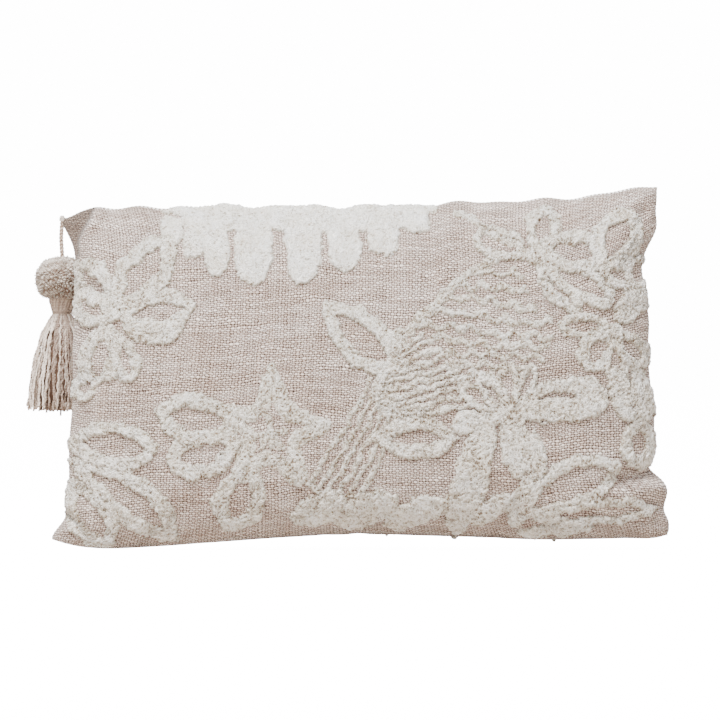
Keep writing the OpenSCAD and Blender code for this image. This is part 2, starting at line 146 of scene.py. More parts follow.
def edge_x(u, v):
    """How far the real side seams stand out from the plain outline."""
    tip = 4.5 * smoothstep(0.90, 1.0, v) * np.abs(u) ** 25
    r = 4 * bump1(v, 0.055, 0.03) + 9.5 * bump1(v, 0.15, 0.05) - 6.5 * bump1(v, 0.214, 0.03) \
        + 3 * bump1(v, 0.36, 0.08) \
        + 2 * bump1(v, 0.62, 0.05) - 3 * bump1(v, 0.775, 0.05) + 8.5 * bump1(v, 0.89, 0.055) \
        + 3 * bump1(v, 0.965, 0.035) - 4 * smoothstep(0.03, 0.0, v)
    l = 3.5 * bump1(v, 0.30, 0.13) + 2.5 * bump1(v, 0.60, 0.12) + 1.5 * bump1(v, 0.15, 0.03) \
        + 6 * smoothstep(0.085, 0.025, v) - 4 * smoothstep(0.02, 0.0, v)
    w = np.abs(u) ** 5
    return np.where(u > 0, r * w, -l * w - tip)


def edge_z(u, v):
    """How far the real top and bottom seams rise above the plain outline."""
    t = 1.5 + 3.2 * bump1(u, 0.42, 0.22) + 1.2 * bump1(u, 0.8, 0.1) + 1.2 * np.sin(u * 23) \
        + 0.8 * np.sin(u * 41 + 1)
    b = 3.5 * np.maximum(0, 1 - (u / 0.6) ** 2) ** 2 + 1.5 * smoothstep(0.45, 0.95, u)
    t = t + 4.0 * bump1(u, -0.89, 0.06) - 3.5 * smoothstep(-0.94, -1.0, u)
    hem = 4.0 * smoothstep(-0.85, -0.5, u) + 3.6 * smoothstep(0.12, 0.5, u) \
        - 5 * smoothstep(0.84, 1.0, u)
    return t * smoothstep(0.5, 1.0, v) + b * smoothstep(0.3, 0.0, v) \
        + hem * smoothstep(0.12, 0.0, v)


def top_z(u):
    return STAND_H + np.where(u > 0, EAR_R * np.abs(u) ** 3, -EAR_L * np.abs(u) ** 6)


def bottom_z(u):
    return SAG_UP * np.maximum(0, 1 - (u / 0.65) ** 2) ** 2 \
        + EAR_FOOT * (np.maximum(0, np.abs(u) - 0.78) / 0.22) ** 3


def ear_fold(u, v):
    """0 to 1 over the top left ear, which is folded back."""
    return smoothstep(0.74, 1.0, -u) * smoothstep(0.72, 1.0, v)


def half_w(v):
    return BOTTOM_W / 2 + (TOP_W - BOTTOM_W) / 2 * v - PULL * (1 - np.abs(2 * v - 1) ** 5)


def surf(u, v, side, real=True):
    """Point of the front (side -1) or back (side 1) as the CAD has it; real adds wavy seams."""
    u, v = np.asarray(u, float), np.asarray(v, float)
    x = SLANT * v + u * half_w(v)
    zt, zb = top_z(u), bottom_z(u)
    z = zb + np.maximum(0, v * (zt - zb + FOOT) - FOOT)
    across = (1 - 0.36 * u * u) * np.sqrt(np.maximum(0, 1 - np.abs(u) ** 8))
    lo = (1 - np.maximum(0, 1 - v / BELLY) ** 3.4) ** (1 / 3.4)
    hi = np.maximum(0, 1 - np.clip((v - BELLY) / (1 - BELLY), 0, 1) ** 2.2) ** 0.62
    up = np.where(v < BELLY, lo, hi)
    y = Y_MID + LEAN * v ** 1.3 + FOLD * ear_fold(u, v) + side * (0.2 + HALF_D * across * up)
    if real:
        x = x + edge_x(u, v)
        z = z + edge_z(u, v)
    return np.stack(np.broadcast_arrays(x, y, z), -1)


# cloth coordinates s and t: how far along the flat cloth a point lies, in mm
U_LINE, V_LINE = np.linspace(-1, 1, 801), np.linspace(0, 1, 801)
S_LINE = arc_length(surf(U_LINE, 0.45 + 0 * U_LINE, -1, real=False))
S_LINE = (S_LINE / S_LINE[-1] * 2 - 1) * HALF_S
T_LINE = arc_length(surf(0 * V_LINE, V_LINE, -1, real=False))
T_LINE = T_LINE / T_LINE[-1] * LEN_T


def flat(u, v):
    return np.interp(u, U_LINE, S_LINE), np.interp(v, V_LINE, T_LINE)


def u_of(s):
    return np.interp(s, S_LINE, U_LINE)


def v_of(t):
    return np.interp(t, T_LINE, V_LINE)


def uv_grid(n, m):
    """u and v of an n by m grid that is even on the flat cloth."""
    return np.broadcast_arrays(u_of(np.linspace(-HALF_S, HALF_S, n)[:, None]),
                               v_of(np.linspace(0, LEN_T, m)[None, :]))


def weave_at(u, v):
    """Cloth coordinates for the weave; the rows run up to the ears, as gathered cloth does."""
    s, t = flat(u, v)
    a = np.maximum(0, np.abs(u) - 0.62) / 0.38
    b = np.maximum(0, v - 0.5) / 0.5
    c = np.maximum(0, 0.35 - v) / 0.35
    t = t - 34 * a ** 1.7 * b + 20 * a ** 2 * c
    s = s + 5 * np.sin(t / 60) * (1 - a)
    t = t + 2.0 * np.sin(s / 47) + 1.2 * np.sin(s / 21 + 1)
    return s, t


# ------------------------------------------------------------------ shader helpers
class Nodes:
    """Short names for building a node material."""

    def __init__(self, name):
        self.mat = bpy.data.materials.new(name)
        self.mat.use_nodes = True
        self.t = self.mat.node_tree
        self.b = self.t.nodes["Principled BSDF"]

    def put(self, sock, val):
        if isinstance(val, bpy.types.NodeSocket):
            self.t.links.new(val, sock)
        elif isinstance(val, (tuple, list)) and sock.type == "RGBA":
            sock.default_value = (*val[:3], 1)
        else:
            sock.default_value = val

    def m(self, op, a, b=None, c=None, clamp=False):
        n = self.t.nodes.new("ShaderNodeMath")
        n.operation = op
        n.use_clamp = clamp
        for s, v in zip(n.inputs, (a, b, c)):
            if v is not None:
                self.put(s, v)
        return n.outputs[0]

    def attr(self, name):
        n = self.t.nodes.new("ShaderNodeAttribute")
        n.attribute_name = name
        return n

    def xyz(self, x, y, z=0.0):
        n = self.t.nodes.new("ShaderNodeCombineXYZ")
        for s, v in zip(n.inputs, (x, y, z)):
            self.put(s, v)
        return n.outputs[0]

    def at(self, x, sx, y, sy, z=0.0):
        """A vector of two coordinates, each times its own scale, and a third value."""
        return self.xyz(self.m("MULTIPLY", x, sx), self.m("MULTIPLY", y, sy), z)

    def place(self):
        """Object coordinates, in metres."""
        return self.t.nodes.new("ShaderNodeTexCoord").outputs["Object"]

    def split(self, v):
        n = self.t.nodes.new("ShaderNodeSeparateXYZ")
        self.put(n.inputs[0], v)
        return n.outputs

    def noise(self, vec, scale=1.0, detail=2.0, rough=0.5):
        n = self.t.nodes.new("ShaderNodeTexNoise")
        self.put(n.inputs["Vector"], vec)
        self.put(n.inputs["Scale"], scale)
        self.put(n.inputs["Detail"], detail)
        self.put(n.inputs["Roughness"], rough)
        return n.outputs["Fac"]

    def cells(self, vec, scale):
        n = self.t.nodes.new("ShaderNodeTexVoronoi")
        self.put(n.inputs["Vector"], vec)
        self.put(n.inputs["Scale"], scale)
        return n.outputs["Distance"]

    def white(self, vec):
        n = self.t.nodes.new("ShaderNodeTexWhiteNoise")
        self.put(n.inputs["Vector"], vec)
        return n.outputs["Value"]

    def ramp(self, f, stops):
        n = self.t.nodes.new("ShaderNodeValToRGB")
        el = n.color_ramp.elements
        while len(el) < len(stops):
            el.new(0.5)
        for e, (pos, col) in zip(el, stops):
            e.position = pos
            e.color = (*col, 1)
        self.put(n.inputs[0], f)
        return n.outputs[0]

    def mix(self, f, a, b, kind="MIX"):
        n = self.t.nodes.new("ShaderNodeMix")
        n.data_type = "RGBA"
        n.blend_type = kind
        self.put(n.inputs[0], f)
        self.put(n.inputs[6], a)
        self.put(n.inputs[7], b)
        return n.outputs[2]

    def tint(self, col, tone, f=1.0):
        return self.mix(f, col, tone, "MULTIPLY")

    def bump(self, h, dist, strength=1.0):
        n = self.t.nodes.new("ShaderNodeBump")
        self.put(n.inputs["Height"], h)
        n.inputs["Distance"].default_value = dist
        n.inputs["Strength"].default_value = strength
        return n.outputs[0]

    def done(self, color, rough=0.9, normal=None, **other):
        self.put(self.b.inputs["Base Color"], color)
        self.put(self.b.inputs["Roughness"], rough)
        if normal is not None:
            self.put(self.b.inputs["Normal"], normal)
        for k, v in other.items():
            self.put(self.b.inputs[k.replace("_", " ")], v)
        return self.mat


def srgb(r, g, b):
    """Linear colour from the usual 0 to 255 values."""
    return tuple((c / 255 / 12.92) if c <= 10 else ((c / 255 + 0.055) / 1.055) ** 2.4
                 for c in (r, g, b))


def weave_material():
    """Loose slubby plain weave: thick pale wefts over thin darker warps, gaps between painted dark as
    shade.
    """
    weft_gap, warp_gap = 1.84, 2.66
    n = Nodes("woven_slub_cotton")
    s, t, _ = n.split(n.attr("cloth").outputs["Vector"])
    # the threads wander a little
    drift = n.noise(n.at(s, 0.022, t, 0.05))
    drift2 = n.noise(n.at(s, 0.07, t, 0.02, 7.0))
    slack = n.noise(n.at(s, 0.16, t, 0.22, 3.0))
    v = n.m("MULTIPLY_ADD", slack, 2.2, n.m("MULTIPLY_ADD", drift, 9.0, t))
    u = n.m("MULTIPLY_ADD", slack, -2.6, n.m("MULTIPLY_ADD", drift2, 5.0, s))
    v, u = n.m("DIVIDE", v, weft_gap), n.m("DIVIDE", u, warp_gap)
    iv, iu = n.m("FLOOR", v), n.m("FLOOR", u)
    cu = n.m("SINE", n.m("MULTIPLY", n.m("FRACT", u), math.pi))
    cv = n.m("SINE", n.m("MULTIPLY", n.m("FRACT", v), math.pi))
    # a weft rides over every second warp, and the next row over the others
    step = n.m("ADD", u, iv)
    over = n.m("SINE", n.m("MULTIPLY", step, math.pi))
    under = n.m("SINE", n.m("MULTIPLY", n.m("ADD", v, iu), math.pi))
    one = n.white(n.xyz(n.m("FLOOR", n.m("MULTIPLY", step, 0.5)), iv, 4.0))
    each = n.white(n.xyz(iu, 2.0, 6.0))
    # how thick each thread is along its length
    slub = n.noise(n.at(s, 0.04, iv, 3.7), 1.0, 3, 0.6)
    patch = n.noise(n.at(s, 0.012, t, 0.03, 9.0), 1.0, 3)
    thin = n.m("MULTIPLY_ADD", slub, -2.4, 1.9, clamp=True)
    weft = n.m("MULTIPLY", n.m("POWER", cv, n.m("MULTIPLY_ADD", thin, 1.1, 0.35)),
               n.m("MULTIPLY_ADD", over, 0.46, 0.50))
    weft = n.m("MULTIPLY", weft, n.m("MULTIPLY_ADD", one, 0.56, 0.68))
    warp = n.m("MULTIPLY", n.m("POWER", cu, 1.6), n.m("MULTIPLY_ADD", under, -0.30, 0.32))
    warp = n.m("MULTIPLY", warp, n.m("MULTIPLY_ADD", each, 0.3, 0.85))
    fibre = n.noise(n.at(s, 1.2, t, 3.2), 1.0, 3, 0.7)
    height = n.m("MULTIPLY_ADD", fibre, 0.2, n.m("MAXIMUM", weft, warp))
    # each thread's colour follows its height: painted shade in the gaps and where a thread dips under
    # the others
    weft_col = n.ramp(weft, [(0.12, srgb(56, 48, 44)), (0.34, srgb(156, 145, 139)),
                             (0.52, srgb(244, 240, 238)), (0.72, srgb(255, 255, 255))])
    warp_col = n.ramp(warp, [(0.06, srgb(56, 48, 44)), (0.27, srgb(140, 129, 123)),
                             (0.56, srgb(224, 215, 210))])
    upper = n.m("MULTIPLY_ADD", n.m("SUBTRACT", weft, warp), 5.0, 0.5, clamp=True)
    col = n.mix(upper, warp_col, weft_col)
    # each thread's own shade, broad patches, and streaks where a weft or a warp is thinner
    col = n.tint(col, n.mix(n.m("MULTIPLY_ADD", slub, 2.2, -0.65, clamp=True),
                            srgb(238, 229, 223), srgb(255, 252, 248)))
    col = n.tint(col, n.mix(n.m("MULTIPLY_ADD", patch, 2.4, -0.7, clamp=True),
                            srgb(238, 231, 226), srgb(255, 255, 255)))
    along = n.noise(n.at(s, 0.02, t, 0.28, 21.0))
    down = n.noise(n.at(s, 0.24, t, 0.02, 33.0))
    col = n.tint(col, srgb(214, 207, 203), n.m("MULTIPLY_ADD", along, -3.0, 2.1, clamp=True))
    col = n.tint(col, srgb(242, 236, 232), n.m("MULTIPLY_ADD", down, -3.0, 1.9, clamp=True))
    # worn along the seams, and painted shade darkening the folded-back ear
    worn = n.attr("edge").outputs["Fac"]
    col = n.mix(n.m("MULTIPLY", worn, 0.3), col, srgb(196, 180, 170))
    col = n.tint(col, srgb(160, 151, 142), n.attr("shade").outputs["Fac"])
    return n.done(col, n.m("MULTIPLY_ADD", fibre, 0.12, 0.84), n.bump(height, 0.0011, 0.9),
                  Sheen_Weight=0.25, Sheen_Roughness=0.5, Specular_IOR_Level=0.2)


def tuft_material():
    """Short dense loops of soft off-white yarn that curl every way, with painted shade in the
    crevices.
    """
    n = Nodes("tufted_cotton_yarn")
    cloth = n.attr("cloth").outputs["Vector"]
    lift = n.attr("lift").outputs["Fac"]
    curl = n.noise(cloth, 0.50)
    tiny = n.noise(cloth, 1.5, 3, 0.7)
    soft = n.noise(cloth, 0.05)
    # a strand of a loop shows as a bright ridge where the noise crosses its middle, with painted
    # shade between strands
    ridge = n.m("MULTIPLY_ADD", n.m("ABSOLUTE", n.m("SUBTRACT", curl, 0.5)), -9.0, 1.0)
    ridge = n.m("MAXIMUM", ridge, -0.4)
    height = n.m("MULTIPLY_ADD", tiny, 0.35, ridge)
    # colour follows lift and the ridges: painted shade down in the crevices, palest on the tops
    f = n.m("ADD", n.m("MULTIPLY_ADD", ridge, 0.26, lift), n.m("MULTIPLY_ADD", tiny, 0.5, -0.27))
    col = n.ramp(f, [(0.0, srgb(104, 86, 68)), (0.22, srgb(170, 156, 138)),
                     (0.42, srgb(224, 218, 207)), (0.72, srgb(254, 253, 250))])
    col = n.tint(col, srgb(243, 237, 226), n.m("MULTIPLY_ADD", soft, 1.6, -0.5, clamp=True))
    return n.done(col, n.m("MULTIPLY_ADD", tiny, 0.1, 0.86), n.bump(height, 0.0012, 0.9),
                  Sheen_Weight=0.3, Sheen_Roughness=0.45, Specular_IOR_Level=0.15)


def yarn_material(name, dark, mid, light, bump=0.0004):
    """Twisted two-tone cotton yarn: 'yarn' holds length along it, place round it and its tone."""
    n = Nodes(name)
    along, around, tone = n.split(n.attr("yarn").outputs["Vector"])
    ply = n.m("SINE", n.m("ADD", n.m("MULTIPLY", along, 2.6), around))
    fuzz = n.noise(n.at(along, 0.9, around, 1.0, n.m("MULTIPLY", tone, 40)), 2.4, 3, 0.7)
    f = n.m("ADD", n.m("MULTIPLY_ADD", ply, 0.13, -0.13),
            n.m("ADD", n.m("MULTIPLY_ADD", fuzz, 0.5, -0.25), tone))
    col = n.ramp(f, [(0.0, dark), (0.45, mid), (0.9, light)])
    h = n.m("MULTIPLY_ADD", ply, 0.35, fuzz)
    return n.done(col, n.m("MULTIPLY_ADD", fuzz, 0.1, 0.84), n.bump(h, bump, 0.8),
                  Sheen_Weight=0.3, Sheen_Roughness=0.5, Specular_IOR_Level=0.15)


def tape_material(name, dark, light, pitch=0.55):
    """Fine herringbone tape."""
    n = Nodes(name)
    place = n.place()
    x, _, z = n.split(place)
    a = n.m("MULTIPLY", x, 1000 / pitch)
    b = n.m("MULTIPLY", z, 1000 / pitch)
    rib = n.m("SINE", n.m("MULTIPLY", n.m("ADD", a, n.m("PINGPONG", b, 2.5)), math.pi))
    row = n.m("SINE", n.m("MULTIPLY", b, math.pi * 2))
    height = n.m("MULTIPLY_ADD", row, 0.4, rib)
    fuzz = n.noise(place, 2600)
    col = n.ramp(n.m("MULTIPLY_ADD", height, 0.3, fuzz), [(0.15, dark), (0.75, light)])
    return n.done(col, n.m("MULTIPLY_ADD", fuzz, 0.15, 0.75), n.bump(height, 0.00012, 0.7),
                  Sheen_Weight=0.15, Specular_IOR_Level=0.25)


def metal_material():
    """Brushed antique brass with darker stains."""
    n = Nodes("zip_brass")
    place = n.place()
    x, y, z = n.split(place)
    brush = n.noise(n.at(x, 5200, y, 5200, n.m("MULTIPLY", z, 700)), 1.0, 3, 0.6)
    stain = n.noise(place, 260, 3, 0.6)
    col = n.ramp(n.m("MULTIPLY_ADD", brush, 0.35, n.m("MULTIPLY", stain, 0.75)),
                 [(0.25, srgb(128, 102, 62)), (0.5, srgb(176, 148, 98)),
                  (0.85, srgb(216, 194, 150))])
    return n.done(col, n.m("MULTIPLY_ADD", stain, 0.25, 0.22), n.bump(brush, 0.00003, 0.5),
                  Metallic=1.0)


def coil_material():
    """Slightly glossy undyed nylon."""
    n = Nodes("zip_coil_nylon")
    v = n.noise(n.place(), 900, 3)
    col = n.ramp(v, [(0.3, srgb(196, 186, 172)), (0.7, srgb(222, 214, 202))])
    return n.done(col, n.m("MULTIPLY_ADD", v, 0.2, 0.34), n.bump(v, 0.00005, 0.5),
                  Specular_IOR_Level=0.5, Coat_Weight=0.15)


def lining_material():
    """Plain white spun insert cloth with a fine speckle."""
    n = Nodes("insert_cloth")
    place = n.place()
    speck = n.cells(place, 620)
    cloud = n.noise(place, 90, 3)
    col = n.ramp(n.m("MULTIPLY_ADD", speck, 0.4, n.m("MULTIPLY", cloud, 0.8)),
                 [(0.2, srgb(222, 221, 217)), (0.8, srgb(248, 248, 246))])
    return n.done(col, n.m("MULTIPLY_ADD", cloud, 0.1, 0.85), n.bump(speck, 0.0002, 0.5),
                  Sheen_Weight=0.2, Specular_IOR_Level=0.2)


def fibre_material():
    """White hollow fibre in long strands."""
    n = Nodes("hollow_fibre")
    x, y, z = n.split(n.place())
    a = n.noise(n.at(x, 300, y, 300, n.m("MULTIPLY", z, 90)), 1.0, 4, 0.7)
    col = n.ramp(a, [(0.3, srgb(214, 214, 214)), (0.7, srgb(250, 250, 250))])
    return n.done(col, 0.9, n.bump(a, 0.001, 0.7), Sheen_Weight=0.5)


WEAVE = weave_material()
TUFT = tuft_material()
TASSEL = yarn_material("tassel_cotton", srgb(96, 74, 60), srgb(178, 158, 143),
                       srgb(226, 214, 202))
POMPOM = yarn_material("pompom_cotton", srgb(98, 78, 64), srgb(171, 159, 147),
                       srgb(214, 206, 197), 0.0003)
THREAD = yarn_material("sewing_thread", srgb(150, 136, 124), srgb(200, 190, 180),
                       srgb(232, 226, 218), 0.0001)
TAPE = tape_material("zip_tape", srgb(176, 164, 152), srgb(216, 207, 196))
BRASS = metal_material()
COIL = coil_material()
LINING = lining_material()
FIBRE = fibre_material()


# ------------------------------------------------------------------ tubes and yarn
def frames(path):
    """Two cross directions at each point of a path."""
    t = np.gradient(path, axis=0)
    t /= np.linalg.norm(t, axis=1)[:, None]
    ref = np.eye(3)[np.abs(t).max(axis=0).argmin()]
    a = np.cross(t, ref)
    a /= np.linalg.norm(a, axis=1)[:, None]
    return a, np.cross(t, a)


def tube(path, radius, sides=6, flatness=1.0, tone=0.5):
    """Points, quads and yarn coordinates of a tube closed at both ends."""
    n = len(path)
    a, b = frames(path)
    run = arc_length(path)
    turn = np.linspace(0, 2 * math.pi, sides, endpoint=False)
    r = np.broadcast_to(radius, (n,))[:, None]
    x, y = r * np.cos(turn), r * flatness * np.sin(turn)
    co = path[:, None] + x[..., None] * a[:, None] + y[..., None] * b[:, None]
    co = np.vstack([co.reshape(-1, 3), path[:1], path[-1:]])
    j = np.arange(sides)
    nxt = (j + 1) % sides
    row = np.arange(n - 1)[:, None] * sides
    p, q = (row + j).ravel(), (row + nxt).ravel()
    end, first, last = (n - 1) * sides, 0 * j + n * sides, 0 * j + n * sides + 1
    quads = np.vstack([np.stack([p, p + sides, q + sides, q], 1),
                       np.stack([j, nxt, first, first], 1),
                       np.stack([end + nxt, end + j, last, last], 1)])
    yarn = np.stack([np.repeat(run, sides), np.tile(turn, n), np.full(n * sides, tone)], 1)
    return co, quads, np.vstack([yarn, [[0, 0, tone], [run[-1], 0, tone]]])


class Pile:
    """Collects many tubes into one mesh."""

    def __init__(self):
        self.co, self.q, self.y, self.n = [], [], [], 0

    def add(self, co, quads, yarn):
        self.co.append(co)
        self.q.append(np.asarray(quads) + self.n)
        self.y.append(yarn)
        self.n += len(co)

    def make(self, name, **kw):
        return make(name, np.vstack(self.co), np.vstack(self.q),
                    attrs={"yarn": np.vstack(self.y)}, **kw)


def twisted(pile, path, radius, pitch, sides, tone, spread, spin=0.0, jitter=0.1):
    """A two ply twisted yarn along a path; jitter is how much the second ply's tone differs."""
    run = arc_length(path)
    a, b = frames(path)
    for k in range(2):
        w = spin + 2 * math.pi * (k / 2 + run / pitch)
        line = path + radius * spread * (np.cos(w)[:, None] * a + np.sin(w)[:, None] * b)
        pile.add(*tube(line, radius * (1 - spread), sides, tone=tone + k * jitter))


# ------------------------------------------------------------------ the tassel and its cord
TX = -270.5                           # the tassel's axis
TY = Y_MID + LEAN + FOLD + 0.2
CORD_PTS = [(-270.5, 296.6), (-270.4, 293.4), (-270.6, 289.6), (-271.0, 286), (-271.2, 282.5),
            (-271.35, 279), (-271.4, 275.5), (-271.2, 272), (-270.95, 268.5), (-270.7, 265),
            (-270.5, 261.6), (-270.5, 258)]
PZ, PR, PH = 240.2, 23.9, 20.0        # the pompom's middle, its radius and half of its height
POM_FLAT = 222.6                      # height where its underside is pressed flat
KNOBS, ENDS = 1500, 760               # tips of yarn packed into it, and those that stand proud
SKIRT_TOP, SKIRT_LEN = 211.8, 88.5
SKIRT_S = [0, 0.03, 0.08, 0.14, 0.21, 0.36, 0.58, 0.80, 1.0]
SKIRT_R = [5.4, 7.6, 10.8, 13.6, 17.4, 21.6, 25.0, 27.2, 28.8]
SKIRT_RINGS = ((50, 0.985), (44, 0.82), (34, 0.60), (22, 0.36), (8, 0.12))  # strands, share of radius


def round_axis(r, a, z, x=TX):
    """Points round the tassel's upright axis."""
    return np.stack(np.broadcast_arrays(x + r * np.cos(a), TY + r * np.sin(a), z), -1)


def core(pile, heights, radii, x, tone):
    """A closed turned shape inside the strands, so that nothing shows through between them; its dark
    tone is painted shade.
    """
    a = np.linspace(0, 2 * math.pi, 32, endpoint=False)[:, None]
    co = round_axis(np.array([radii]), a, np.array([heights]), x).reshape(-1, 3)
    pile.add(co, grid_quads(32, len(radii), flip=True, wrap=True),
             np.tile([[0.0, 0.0, tone]], (len(co), 1)))


def hanging_cord():
    route = np.array([[x, TY, z] for x, z in CORD_PTS])
    pile = Pile()
    twisted(pile, resample(route, 67), 2.1, 6.4, 12, 0.46, 0.44)
    return route, pile.make("hanging_cord", body="tassel_cord", slot="tassel_yarn", mat=TASSEL,
                            replaces=("tassel_cord",))


def bar_tack():
    """Four turns of thread round the cord and five upright stitches that hold it in the ear."""
    pile = Pile()
    a = np.linspace(0, 2 * math.pi, 19)
    for k, dz in enumerate((-1.3, -0.5, 0.3, 1.1)):
        r = 2.25 + 0.15 * (k % 2)
        loop = np.stack([TX + r * np.cos(a), TY + r * 0.9 * np.sin(a),
                         294.2 + dz + 0.35 * np.sin(a + k)], 1)
        pile.add(*tube(loop, 0.42, 6, tone=0.52 + 0.06 * (k % 3)))
    z = np.linspace(291.8, 297.4, 9)
    for k in range(5):
        x = TX - 1.2 + 0.6 * k
        bow = 2.0 + 0.35 * np.sin((z - 291.8) / 5.6 * math.pi)
        pile.add(*tube(np.stack([x + 0 * z, TY - bow, z], 1), 0.36, 5, tone=0.56))
    pile.make("bar_tack_stitches", slot="sewing_thread", mat=THREAD, replaces=("ear_bar_tack",))


def ball_scale(d):
    """How far the squarish ball reaches along unit directions d."""
    level = (np.abs(d[..., 0]) ** 2.6 + np.abs(d[..., 1]) ** 2.6) ** (1 / 2.6)
    return (level ** 2.25 + np.abs(d[..., 2]) ** 2.25) ** (-1 / 2.25)


def pompom():
    """A round ball of packed yarn, flat where the neck is tied on, with cut ends all over."""
    nu, nv = 220, 130
    th = np.linspace(0, 2 * math.pi, nu, endpoint=False)[:, None]
    ph = np.linspace(-math.pi / 2 + 0.02, math.pi / 2 - 0.02, nv)[None, :]
    d = np.stack(np.broadcast_arrays(np.cos(ph) * np.cos(th), np.cos(ph) * np.sin(th),
                                     np.sin(ph)), -1)
    seeds = rng.normal(size=(KNOBS, 3))
    seeds /= np.linalg.norm(seeds, axis=1)[:, None]
    # distance to the nearest and to the second nearest tip, in blocks to save memory
    two = [np.sort(np.partition(-(part @ seeds.T), 1, axis=1)[:, :2], axis=1)
           for part in np.array_split(d.reshape(-1, 3), 8)]
    away = np.arccos(np.clip(-np.vstack(two), -1, 1)) * 21
    knob = np.clip((away[:, 1] - away[:, 0]) / 1.1, 0, 1).reshape(nu, nv)
    # bundles of yarn that swirl over the left side show as parallel arcs
    arc = np.sin((d[..., 2] * 9.5 + 1.3 * np.sin(th * 2 + 1)) * 1.9)
    mask = smoothstep(-0.35, 0.35, -d[..., 0])
    big = value_noise(d[..., 0] * 2.4 + 9, d[..., 2] * 2.4 + d[..., 1] * 1.7 + 9, 3)
    rad = 1 + 0.030 * big + (0.075 * knob - 0.05) * (1 - 0.3 * mask) + 0.012 * arc * mask
    size = np.array([PR, PR, PH])
    co = (TX, TY, PZ) + size * d * (ball_scale(d) * rad)[..., None]
    z = co[..., 2]
    co[..., 2] = np.where(z < POM_FLAT, POM_FLAT - (POM_FLAT - z) * 0.15, z)
    # tone: painted shade between the knobs, and painted light, lighter on the left and on top and
    # darker to the right
    tone = 0.04 + 0.80 * knob * (1 - 0.15 * mask) + 0.12 * arc * mask + 0.10 * big \
        - 0.14 * d[..., 0] + 0.12 * smoothstep(0.0, 0.9, d[..., 2])
    yarn = np.stack([co[..., 2] * 1.3 + co[..., 0], th * 9 + 0 * ph, tone], -1)
    ball = make("pompom_ball", co, grid_quads(nu, nv, wrap=True), body="tassel",
                slot="tassel_yarn", mat=POMPOM, replaces=("pompom",),
                attrs={"yarn": yarn.reshape(-1, 3)})
    pile = Pile()
    for e in seeds[:ENDS]:
        p0 = (TX, TY, PZ) + size * e * ball_scale(e)
        near_cord = p0[2] > 259.2 and np.hypot(p0[0] - TX, p0[1] - TY) < 4
        if p0[2] < 224 or near_cord:
            continue
        side = rng.normal(size=3) * 0.55
        out = e + side * 0.6
        out /= np.linalg.norm(out)
        reach = rng.uniform(0.5, 1.5)
        line = np.stack([p0 - e * 1.2, p0 + out * reach * 0.3, p0 + out * reach + side * 0.4])
        pile.add(*tube(line, [0.55, 0.5, 0.28], 4, tone=rng.uniform(0.35, 1.0)))
    pile.make("pompom_yarn_ends", body="tassel", slot="tassel_yarn", mat=POMPOM)
    return ball


def neck():
    """The yarns gathered and bound under the pompom."""
    pile = Pile()
    z = np.linspace(225.5, 209.8, 9)
    for k in range(40):
        a = 2 * math.pi * (k + rng.uniform(-0.25, 0.25)) / 40
        r = np.interp(z, [209.8, 212.5, 219, 225.5], [7.3, 8.6, 10.6, 11.4]) \
            * (1 - 0.06 * (k % 2)) + 0.2 * np.sin(z + k)
        pile.add(*tube(round_axis(r, a + 0.02 * (z - 218), z), 1.05, 6,
                       tone=rng.uniform(0.42, 0.72)))
    a = np.linspace(0, 2 * math.pi, 49)
    for k in range(3):
        bind = round_axis(8.5 + 0.35 * k, a, 209.9 + 1.0 * k + 0.4 * np.sin(a + k * 2))
        pile.add(*tube(bind, 0.55, 7, tone=0.50 + 0.05 * k))
    core(pile, [225.5, 225, 219, 212.5, 211.0], [0, 10.6, 9.8, 7.9, 0], TX, 0.12)
    return pile.make("neck_yarns", body="tassel", slot="tassel_yarn", mat=TASSEL,
                     replaces=("neck_binding",))


def skirt():
    """About 160 twisted strands that hang from the neck and spread towards their cut ends."""
    pile = Pile()
    for ring, (count, share) in enumerate(SKIRT_RINGS):
        for k in range(count):
            a0 = 2 * math.pi * (k + 0.5 * (ring % 2) + rng.uniform(-0.3, 0.3)) / count
            end = 1.0 + rng.uniform(-0.035, 0.02) + (0.05 if rng.uniform() < 0.03 else 0)
            s = np.linspace(0, end, 20)
            r = np.interp(s, SKIRT_S, SKIRT_R) * share + rng.uniform(-0.5, 0.5)
            sway = rng.uniform(-0.10, 0.10)
            a = a0 + sway * s ** 1.5 + 0.06 * np.sin(s * rng.uniform(5, 11) + k) * s
            wave = rng.uniform(0.5, 1.6) * np.sin(s * rng.uniform(7, 16) + rng.uniform(0, 6)) \
                * smoothstep(0.02, 0.3, s)
            line = np.stack([TX - 2.2 * s ** 1.3 + (r + wave) * np.cos(a),
                             TY + (r + wave) * np.sin(a) * 0.98, SKIRT_TOP - s * SKIRT_LEN], 1)
            # painted shade: each ring further in is darker, and the two innermost rings darker still
            tone = rng.uniform(0.36, 1.02) - 0.10 * ring
            if ring >= 3:
                pile.add(*tube(line, 1.15, 5, tone=tone - 0.1, flatness=0.8))
                continue
            strand = resample(line, 52)
            # the crimp left by the twist
            crimp = rng.uniform(0.25, 0.7) * np.sin(np.linspace(0, rng.uniform(38, 62), 52) + 2 * k)
            strand[:, 0] -= crimp * math.sin(a0)
            strand[:, 1] += crimp * math.cos(a0)
            twisted(pile, strand, rng.uniform(1.0, 1.35), rng.uniform(5.5, 8), 5, tone, 0.42,
                    spin=rng.uniform(0, 6), jitter=rng.uniform(-0.3, 0.3))
    core(pile, [211.7, 210.2, 207.4, 203.6, 198.6, 190.6, 175, 150, 130, 129],
         [0, 4.5, 7.4, 10.2, 12.0, 15.4, 18.6, 20.5, 21.5, 0], TX - 0.8, 0.06)
    pile.make("skirt_strands", body="tassel_skirt", slot="tassel_yarn", mat=TASSEL,
              replaces=("skirt",))


route, cord = hanging_cord()
bar_tack()
ball = pompom()
bound = neck()
skirt()


